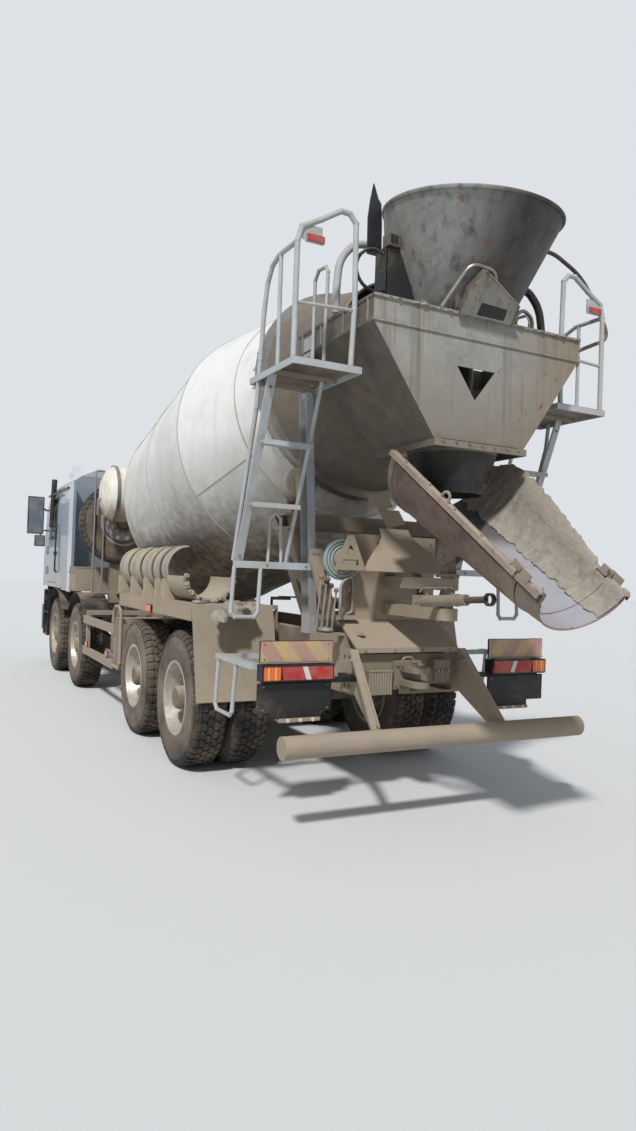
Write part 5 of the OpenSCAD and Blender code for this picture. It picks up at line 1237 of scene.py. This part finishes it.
def build_ladders(look):
    """Treads on the steps, holes in the platforms, rails, red lamps and bolts."""
    shape = Shape(look)
    for side in (1, -1):
        place = on_side(side)
        for z in (2042, 2432):
            x = ladder_x(z)
            for row in range(4):
                for k in range(14):
                    shape.turned([(9, 0), (9, 5), (6, 5), (6, 0)], "steel",
                                 place @ shift(x - 44 + 29 * row, 866 + 25 * k, z + 11), 8)
            shape.box((x - 62, 850, z - 18), (x - 58, 1200, z + 14), "pipe_blue", place)
        for row in range(18):
            for k in range(12):
                x, y = PLATFORM_X + 33 * row, 830 + 35 * k
                shape.turned([(11, 0), (11, -2), (0, -2)], "black", place @ shift(x, y, 2844.8), 8)
        for x in (-2095, -1800, -1500):
            shape.box((x, 800, 2812), (x + 8, 1240, 2843), "fender", place)
        shape.box((-2094, 803, 2841), (-1470, 1237, 2843.6), "axle", place)
        shape.box((-2102, 792, 2846), (-2098, 1248, 2853), "fender", place)
        shape.prism([(1070, 3538), (1183, 3538), (1183, 3575), (1070, 3575)], 2098, 2106, "red_lens",
                    place @ FACING_BACK)
        for z in (1700, 2760):
            shape.bolt((ladder_x(z) - 7, 1200, z), (-1, 0, 0), 10, "nut", place)
        for y in (700, 1000):
            shape.bolt((-1263, y, 1646), (-1, 0, 0), 9, "nut", place)
    shape.make("ladder_treads", "chassis")


# Hopper and charging funnel
HOPPER_BACK, HOPPER_FRONT, HOPPER_TOP = -2262, -1252, 3254
NECK_X = -1850


def build_hopper(look):
    """Rims, box, duct, blade and pipes of the funnel, then the hopper's folds, ribs and splashes."""
    shape = Shape(look)
    ring = shift(-2100, 0, 3940) @ turn("Y", -8)
    shape.turned([(572, -14), (584, -14), (589, -6), (589, 4), (583, 11), (575, 11), (570, 4)], "funnel",
                 ring, 72, closed=True)
    shape.turned([(388, 0), (412, 0), (412, 10), (388, 10)], "funnel", shift(NECK_X, 0, 3261), 60,
                 closed=True)
    for degrees in range(0, 360, 30):
        a = math.radians(degrees)
        shape.bolt((NECK_X + 401 * math.cos(a), 401 * math.sin(a), 3271), (0, 0, 1), 8, "nut")
    shape.pipe([(HOPPER_BACK, 334, 3262), (-2405, 232, 3500), (-2420, 50, 3488), (-2330, -20, 3350)], 13,
               "steel", bend=60)
    # Black rubber skirt under the outlet; its black also stands in for painted shade under the hopper.
    shape.turned([(228, 2226), (238, 2226), (214, 2150), (205, 2150)], "black", shift(SWIVEL_X, 0, 0), 48,
                 closed=True)
    # box that leans on the cone's back, with a dark slot
    leaning = shift(HOPPER_BACK, 0, HOPPER_TOP) @ turn("Y", -35) @ FACING_BACK
    outline = [(215, 0), (215, 161), (152, 277), (-188, 122), (-195, 0)]
    shape.prism(outline, 0, 40, "hopper", leaning)
    shape.prism([(96, 14), (92, 92), (-112, 84), (-118, 14)], 40, 42, "black", leaning)
    shape.pipe([(x, y, 44) for x, y in outline], 6, "hopper", leaning, sides=8)
    # dark duct beside the cone and the blade that stands on it
    shape.prism([(354, 3272), (604, 3272), (604, 3654), (510, 3654)], 2040.3, 2045, "black", FACING_BACK)
    shape.box((-2045, 600.3, 3272), (-1906, 604, 3654), "black")
    shape.box((-2045, 512, 3650.3), (-1906, 604, 3654), "black")
    shape.prism([(560, 3640), (665, 3640), (668, 3870), (655, 3985), (634, 4096), (612, 4040), (597, 4003),
                 (575, 3977), (566, 3860)], 1896, 1908, "black", FACING_BACK)
    shape.pipe([(-1800, 822, 3262), (-1800, 822, 3400), (-1800, 808, 3607), (-1800, 696, 3735),
                (-1810, 560, 3745)], 25, "pipe_blue", bend=90, sides=16)
    shape.pipe([(-1900, -560, 3900), (-1900, -859, 4010), (-1900, -1181, 3880), (-1900, -1397, 3630),
                (-1905, -1480, 3464), (-1905, -1190, 3330), (-1905, -1000, 3240), (-1905, -830, 3180)], 15,
               "black_hose", bend=120)
    shape.pipe([(-1900, -500, 3560), (-1900, -536, 3629), (-1900, -661, 3679), (-1900, -780, 3565),
                (-1900, -812, 3403), (-1900, -812, 3252)], 28, "black_hose", bend=70, sides=14)
    shape.pipe([(-1990, -491, 3256), (-1990, -491, 3440), (-1990, -560, 3488), (-1990, -641, 3440),
                (-1990, -641, 3256)], 13, "steel", bend=40)
    loop = [(-2000, 665 + 130 * math.cos(a), 3500 + 130 * math.sin(a))
            for a in (2 * math.pi * k / 28 for k in range(28))]
    shape.pipe(loop, 11, "black_hose", closed=True)
    shape.rod((-2000, 600, 3630), (-2000, 545, 3640), 9, "steel")
    shape.box((-2070, 530, 3654), (-1990, 605, 3730), "grey_plastic")
    shape.box((-2074, 540, 3664), (-2070, 595, 3720), "black")
    shape.make("funnel_fittings", "chassis")
    shape = Shape(look)
    # folded rim, ribs and splashes of the hopper
    for side in (-1, 1):
        shape.side_box(side, (HOPPER_BACK, 806, 3238), (HOPPER_FRONT, 822, HOPPER_TOP), "hopper")
        shape.side_box(side, (HOPPER_BACK, 812, 3096), (HOPPER_FRONT, 826, 3108), "hopper")
        for x in (-2200, -1900, -1600, -1330):
            shape.side_box(side, (x, 813, 3106), (x + 10, 826, 3240), "hopper")
    shape.box((-2272, -822, 3238), (-2256, 822, HOPPER_TOP), "hopper")
    shape.box((-2270, -816, 3096), (-2258, 816, 3108), "hopper")
    shape.box((-2272, -300, 2458), (HOPPER_BACK, 300, 2466), "hopper")
    for y in range(-300, 301, 100):
        shape.bolt((-2281, y, 2440), (-1, 0, 0), 9, "nut")
    shape.make("hopper_edges", "chassis")
    shape = Shape(look)
    for k in range(26):
        at = (-2258 + 6 * math.sin(k * 2.1), -780 + 62 * k, 3246)
        lump(shape, at, (26, 34 + 10 * math.sin(k), 12 + 5 * math.sin(k * 1.3)), k * 0.9)
    for k in range(9):
        at = (NECK_X + 396 * math.cos(0.7 * k), 396 * math.sin(0.7 * k), 3266)
        lump(shape, at, (60, 50, 20), k * 1.1 + 40)
    shape.make("hopper_splashes", "chassis")


# Stored troughs and tool box
STORED_Y, STORED_Z, STORED_R = 1015, 1600, 200
CRUST_X = (430, 650, 1040, 1530, 2040)


def build_stored(look):
    """Concrete and straps on the stored troughs, the caked edge of the lower one, the box's locks."""
    shape = Shape(look)
    for k, middle in enumerate(CRUST_X):
        rows = []
        for i in range(13):
            x = middle - 70 + 140 * i / 12
            row = []
            for j in range(25):
                a = math.radians(-88 + 176 * j / 24)
                rough = 7 + 9 * noise.noise(Vector((x / 35, a * 5, k)))
                if i in (0, 12) or j in (0, 24):
                    rough = -3
                ragged, r = 18 * noise.noise(Vector((a * 6, k, 2))), STORED_R + rough
                row.append((x + ragged, STORED_Y + r * math.cos(a), STORED_Z + r * math.sin(a)))
            rows.append(row)
        shape.sheet(rows, "crust")
    for x in (560, 830, 1230, 1700):
        shape.turned([(208, -11), (214, -11), (214, 11), (208, 11)], "black",
                     shift(x, STORED_Y, STORED_Z) @ turn("Y", 90), 48, closed=True, start=-2, sweep=184)
    shape.make("stored_trough_crust", "chassis")
    shape = Shape(look)
    for k in range(30):
        a = math.pi * k / 29
        at = (-118 + 16 * math.sin(k * 1.9), 1000 - 205 * math.cos(a), 1542 - 200 * math.sin(a))
        lump(shape, at, (34, 26, 30), k * 0.77 + 9)
    shape.make("caked_trough_edge", "chassis")
    shape = Shape(look)
    shape.box((4560, 1241, 1262), (5000, 1246, 1274), "fender")
    for x in (4640, 4900):
        shape.box((x, 1240, 1520), (x + 50, 1252, 1566), "steel")
        shape.turned([(12, 0), (12, 14), (0, 16)], "nut", shift(x + 25, 1250, 1500) @ turn("X", -90), 16)
        for z in (1300, 1340):
            shape.bolt((x, 1240, z), (0, 1, 0), 7, "nut")
    shape.make("tool_box_fittings", "chassis")


# Guards, frame, tank and spare wheel
TANK_X, TANK_Z = 3800, 2520
SPARE_X = 4350


def build_guards(look):
    """Flutes of the rear mudguards, bolts along the frame, straps, cap and pipes of the water tank."""
    shape = Shape(look)
    for side in (1, -1):
        for k in range(56):
            x = -380 + 42 * k
            shape.rod((x, side * 1236, 1208), (x, side * 1236, 1322), 11, "fender", sides=10)
    shape.make("mudguard_flutes", "chassis")
    shape = Shape(look)
    for side in (1, -1):
        for x in range(-1300, 7200, 260):
            for z in (840, 1010):
                shape.bolt((x, side * 430, z), (0, side, 0), 12, "nut")
    shape.make("frame_bolts", "chassis")
    shape = Shape(look)
    for y in (-430, 950):
        shape.turned([(353, -22), (358, -22), (358, 22), (353, 22)], "steel",
                     shift(TANK_X, y, TANK_Z) @ turn("X", 90), 64, closed=True)
    shape.turned([(60, 0), (60, 30), (70, 30), (70, 44), (0, 48)], "grey_plastic", shift(TANK_X, 500, 2866),
                 32)
    for y, elbow in ((1090, 1130), (-570, -610)):
        shape.pipe([(TANK_X, y, 2440), (TANK_X, elbow, 2440), (TANK_X, elbow, 2240)], 16, "steel", bend=26)
    shape.make("water_tank_straps", "chassis")


def build_spare(look):
    """The spare wheel with its post, arm and safety hoop."""
    shape = Shape(look, Matrix.Identity(4))
    x = SPARE_X
    place = CHASSIS @ shift(x, 700, 2180) @ turn("Y", -90)
    tyre(shape, place, 77)
    rim(shape, place, 72, 84, False)
    shape.place = CHASSIS
    shape.box((x - 50, 560, 1100), (x + 50, 840, 1640), "frame")
    shape.box((x - 50, 370, 1060), (x + 50, 840, 1110), "frame")
    shape.pipe([(x - 174, 973, 1270), (x - 174, 973, 2840), (x - 174, 1092, 2840), (x - 174, 1092, 1270)], 12,
               "steel", bend=26)
    shape.box((x - 190, 700, 1240), (x - 160, 1110, 1271), "frame")
    shape.box((x - 161, 700, 1240), (x - 49, 760, 1270), "frame")
    shape.make("spare_tyre", "chassis", ["spare_wheel"])


# Cab, drawn from the front axle
AT_CAB = CHASSIS @ shift(AXLE_X[0], 0, 0)
MIRRORS = ((2110, 2680, 1316, 1534), (1905, 2055, 1288, 1416))
ROOF_FINS = (((1185, 2850), (1200, 2900), (1150, 3035), (1010, 3048), (990, 2940)),
             ((830, 2970), (825, 3042), (700, 3048), (690, 2990)))


def build_cab(look):
    """Fairings, strips, handles and roof fins, mirror glass, lamps, wipers and step treads."""
    shape = Shape(look, AT_CAB)
    for side in (1, -1):
        place = on_side(side)
        shape.box((-1160, 1222, 1232), (-422, 1226, 2776), "fairing", place)
        for z in (1232, 2764):
            shape.box((-1160, 1221, z), (-422, 1229, z + 12), "fairing", place)
        shape.box((-808, 1231, 2690), (1060, 1242, 2722), "black", place)
        for z in (1990, 2632):
            shape.box((150, 1229, z), (770, 1234, z + 8), "black", place)
        shape.box((138, 1229, 1990), (146, 1234, 2640), "black", place)
        shape.box((120, 1230, 1740), (300, 1246, 1800), "black", place)
        shape.box((140, 1245, 1775), (280, 1256, 1790), "black", place)
        shape.turned([(20, 0), (20, 6), (8, 8), (0, 8)], "steel",
                     place @ shift(210, 1230, 1700) @ turn("X", -90), 20)
        shape.pipe([(25, 1236, 1480), (25, 1262, 1500), (25, 1262, 2180), (25, 1236, 2200)], 13, "black",
                   place, bend=20)
        for fin in ROOF_FINS:
            shape.prism(fin, 576, 588, "white_paint", place @ FACING_BACK)
        shape.rod((720, 1225, 2190), (700, 1210, 2960), 42, "black", place, sides=20)
    shape.box((-812, -700, 1700), (-808, 700, 1712), "black")
    shape.prism([(-420, 2280), (420, 2280), (400, 2640), (-400, 2640)], 811, 815, "black", FACING_BACK)
    shape.prism([(-390, 2305), (390, 2305), (374, 2615), (-374, 2615)], 814, 818, "glass", FACING_BACK)
    shape.box((-300, -260, 3006), (240, 260, 3011), "black")
    shape.make("cab_trim", "cab")
    shape = Shape(look, AT_CAB)
    for side in (1, -1):
        place = on_side(side)
        for z0, z1, y0, y1 in MIRRORS:
            shape.prism([(y0, z0), (y1, z0), (y1, z1), (y0, z1)], -1078, -1074, "mirror",
                        place @ FACING_BACK)
    shape.make("mirror_glass", "cab")
    shape = Shape(look, AT_CAB)
    for side in (1, -1):
        place = on_side(side)
        shape.box((1444, 808, 1256), (1452, 1112, 1394), "white_lens", place)
        for y in (890, 1010):
            shape.turned([(52, 0), (48, 6), (0, 9)], "white_lens",
                         place @ shift(1451, y, 1325) @ turn("Y", 90), 28)
        shape.box((1444, 1112, 1256), (1450, 1118, 1394), "amber_lens", place)
        shape.rod((1392, 300, 1905), (1352, 640, 2080), 7, "black", place)
        shape.rod((1365, 340, 1990), (1310, 860, 2060), 6, "black", place)
    for k in range(6):
        z = 1305 + 90 * k
        shape.box((1428, -700, z + 2), (1434, 700, z + 8), "steel")
    shape.make("lamps_and_wipers", "cab")
    shape = Shape(look, AT_CAB)
    for side in (1, -1):
        place = on_side(side)
        for z in (474, 832):
            for row in range(4):
                for k in range(14):
                    shape.turned([(8, 0), (8, 5), (5, 5), (5, 0)], "steel",
                                 place @ shift(690 + 30 * k, 1000 + 50 * row, z - 1), 8)
    shape.make("cab_step_treads", "chassis")


# Sizes and colours a user would change
class TruckSizes(bpy.types.PropertyGroup):
    tread_pitches: bpy.props.IntProperty(
        name="Tread pitches", description="How many times the tread repeats round a tyre", default=46, min=20,
        max=90)
    tread_depth: bpy.props.FloatProperty(
        name="Tread depth", description="Depth of the grooves between the tread blocks", default=0.015,
        min=0.002, max=0.025, unit="LENGTH")
    drum_waves: bpy.props.FloatProperty(
        name="Drum waves", description="How far the drum's rolled plates wave in and out", default=0.0022,
        min=0.0, max=0.006, unit="LENGTH")
    lump_size: bpy.props.FloatProperty(
        name="Concrete lumps", description="Scale of the lumps of dried concrete", default=1.0,
        min=0.2, max=1.4, subtype="FACTOR")


class TruckColours(bpy.types.PropertyGroup):
    drum: bpy.props.FloatVectorProperty(
        name="Drum", description="Paint of the mixing drum", subtype="COLOR", size=4, min=0, max=1,
        default=shade(226, 226, 221))
    cab: bpy.props.FloatVectorProperty(
        name="Cab", description="Metallic paint of the cab", subtype="COLOR", size=4, min=0, max=1,
        default=shade(136, 148, 164))
    dust: bpy.props.FloatVectorProperty(
        name="Dust", description="Dust on the rear of the truck", subtype="COLOR", size=4, min=0, max=1,
        default=shade(160, 145, 126))
    dustiness: bpy.props.FloatProperty(
        name="Dustiness", description="How much of the guards the dust hides", subtype="FACTOR", default=0.8,
        min=0.0, max=1.0)


class MIXER_OT_camera(bpy.types.Operator):
    """Places the camera at the photograph's viewing angle"""
    bl_idname = "mixer.camera"
    bl_label = "Camera"

    def execute(self, context):
        build_camera()
        return {"FINISHED"}


class MIXER_OT_hose(bpy.types.Operator):
    """Winds the wash hose on its holder"""
    bl_idname = "mixer.hose"
    bl_label = "Wash hose"

    def execute(self, context):
        build_hose(finishes())
        return {"FINISHED"}


class MIXER_OT_stage(bpy.types.Operator):
    """Makes the pale floor and the soft light"""
    bl_idname = "mixer.stage"
    bl_label = "Stage"

    def execute(self, context):
        build_stage()
        return {"FINISHED"}


class MIXER_OT_finishes(bpy.types.Operator):
    """Puts paint, dust, rubber and glass on the frame's own parts"""
    bl_idname = "mixer.finishes"
    bl_label = "Frame finishes"

    def execute(self, context):
        build_node_finishes(finishes())
        return {"FINISHED"}


class MIXER_OT_wheels(bpy.types.Operator):
    """Makes the tyres with their tread, and the rims with their nuts"""
    bl_idname = "mixer.wheels"
    bl_label = "Wheels"

    def execute(self, context):
        build_wheels(finishes())
        return {"FINISHED"}


class MIXER_OT_spare_wheel(bpy.types.Operator):
    """Makes the spare wheel with its carrier"""
    bl_idname = "mixer.spare_wheel"
    bl_label = "Spare wheel"

    def execute(self, context):
        build_spare(finishes())
        return {"FINISHED"}


class MIXER_OT_drum(bpy.types.Operator):
    """Makes the drum's plates, welds, ring and inner blades"""
    bl_idname = "mixer.drum"
    bl_label = "Mixing drum"

    def execute(self, context):
        build_drum(finishes())
        return {"FINISHED"}


class MIXER_OT_chute(bpy.types.Operator):
    """Lines the chute with concrete and adds its ribs and pins"""
    bl_idname = "mixer.chute"
    bl_label = "Chute"

    def execute(self, context):
        build_chute(finishes())
        return {"FINISHED"}


class MIXER_OT_lift(bpy.types.Operator):
    """Adds the gland and hoses of the chute's cylinder"""
    bl_idname = "mixer.lift"
    bl_label = "Chute cylinder"

    def execute(self, context):
        build_lift(finishes())
        return {"FINISHED"}


class MIXER_OT_hopper(bpy.types.Operator):
    """Adds rims, hoses, pipes and splashes to hopper and funnel"""
    bl_idname = "mixer.hopper"
    bl_label = "Hopper and funnel"

    def execute(self, context):
        build_hopper(finishes())
        return {"FINISHED"}


class MIXER_OT_ladders(bpy.types.Operator):
    """Adds the treads, holes and lamps of both ladders"""
    bl_idname = "mixer.ladders"
    bl_label = "Ladders"

    def execute(self, context):
        build_ladders(finishes())
        return {"FINISHED"}


class MIXER_OT_lamps(bpy.types.Operator):
    """Makes the lamps, marker boards and blank plates"""
    bl_idname = "mixer.lamps"
    bl_label = "Rear lamps"

    def execute(self, context):
        build_lamps(finishes())
        return {"FINISHED"}


class MIXER_OT_rear_beam(bpy.types.Operator):
    """Adds the junction box ribs, bolts and jaw pin"""
    bl_idname = "mixer.rear_beam"
    bl_label = "Rear beam"

    def execute(self, context):
        build_rear_beam(finishes())
        return {"FINISHED"}


class MIXER_OT_rear_deck(bpy.types.Operator):
    """Adds knobs, valves, pipes and bolts to the deck"""
    bl_idname = "mixer.rear_deck"
    bl_label = "Rear deck"

    def execute(self, context):
        build_deck(finishes())
        return {"FINISHED"}


class MIXER_OT_stored_troughs(bpy.types.Operator):
    """Cakes the stored troughs and fits the tool box"""
    bl_idname = "mixer.stored_troughs"
    bl_label = "Stored troughs"

    def execute(self, context):
        build_stored(finishes())
        return {"FINISHED"}


class MIXER_OT_guards(bpy.types.Operator):
    """Adds flutes, bolts, tank straps and pipes"""
    bl_idname = "mixer.guards"
    bl_label = "Guards, frame and tank"

    def execute(self, context):
        build_guards(finishes())
        return {"FINISHED"}


class MIXER_OT_lumps(bpy.types.Operator):
    """Drops lumps of dried concrete on guards and deck"""
    bl_idname = "mixer.lumps"
    bl_label = "Concrete lumps"

    def execute(self, context):
        build_lumps(finishes())
        return {"FINISHED"}


class MIXER_OT_cab(bpy.types.Operator):
    """Adds the cab's trim, mirror glass, lamps, wipers and step treads"""
    bl_idname = "mixer.cab"
    bl_label = "Cab"

    def execute(self, context):
        build_cab(finishes())
        return {"FINISHED"}


BUILD_ORDER = (
    MIXER_OT_camera, MIXER_OT_hose, MIXER_OT_stage, MIXER_OT_finishes, MIXER_OT_wheels, MIXER_OT_spare_wheel,
    MIXER_OT_drum, MIXER_OT_chute, MIXER_OT_lift, MIXER_OT_hopper, MIXER_OT_ladders, MIXER_OT_lamps,
    MIXER_OT_rear_beam, MIXER_OT_rear_deck, MIXER_OT_stored_troughs, MIXER_OT_guards, MIXER_OT_lumps,
    MIXER_OT_cab,
)


class MIXER_PT_panel(bpy.types.Panel):
    """Lists the truck's sizes, colours and building steps"""
    bl_idname = "MIXER_PT_panel"
    bl_label = "Mixer Truck"
    bl_space_type = "VIEW_3D"
    bl_region_type = "UI"
    bl_category = "Mixer Truck"

    def draw(self, context):
        for group in (context.scene.truck_sizes, context.scene.truck_colours):
            for word in group.__annotations__:
                self.layout.prop(group, word)
        for step in BUILD_ORDER:
            self.layout.operator(step.bl_idname)


CLASSES = (TruckSizes, TruckColours, *BUILD_ORDER, MIXER_PT_panel)


def register():
    for item in CLASSES:
        bpy.utils.register_class(item)
    bpy.types.Scene.truck_sizes = bpy.props.PointerProperty(type=TruckSizes)
    bpy.types.Scene.truck_colours = bpy.props.PointerProperty(type=TruckColours)


def unregister():
    del bpy.types.Scene.truck_colours
    del bpy.types.Scene.truck_sizes
    for item in reversed(CLASSES):
        bpy.utils.unregister_class(item)


def main():
    register()
    for name in ("Cube", "Light", "Camera"):
        if name in bpy.data.objects:
            bpy.data.objects.remove(bpy.data.objects[name])
    for step in BUILD_ORDER:
        family, name = step.bl_idname.split(".")
        getattr(getattr(bpy.ops, family), name)()


if __name__ == "__main__":
    main()
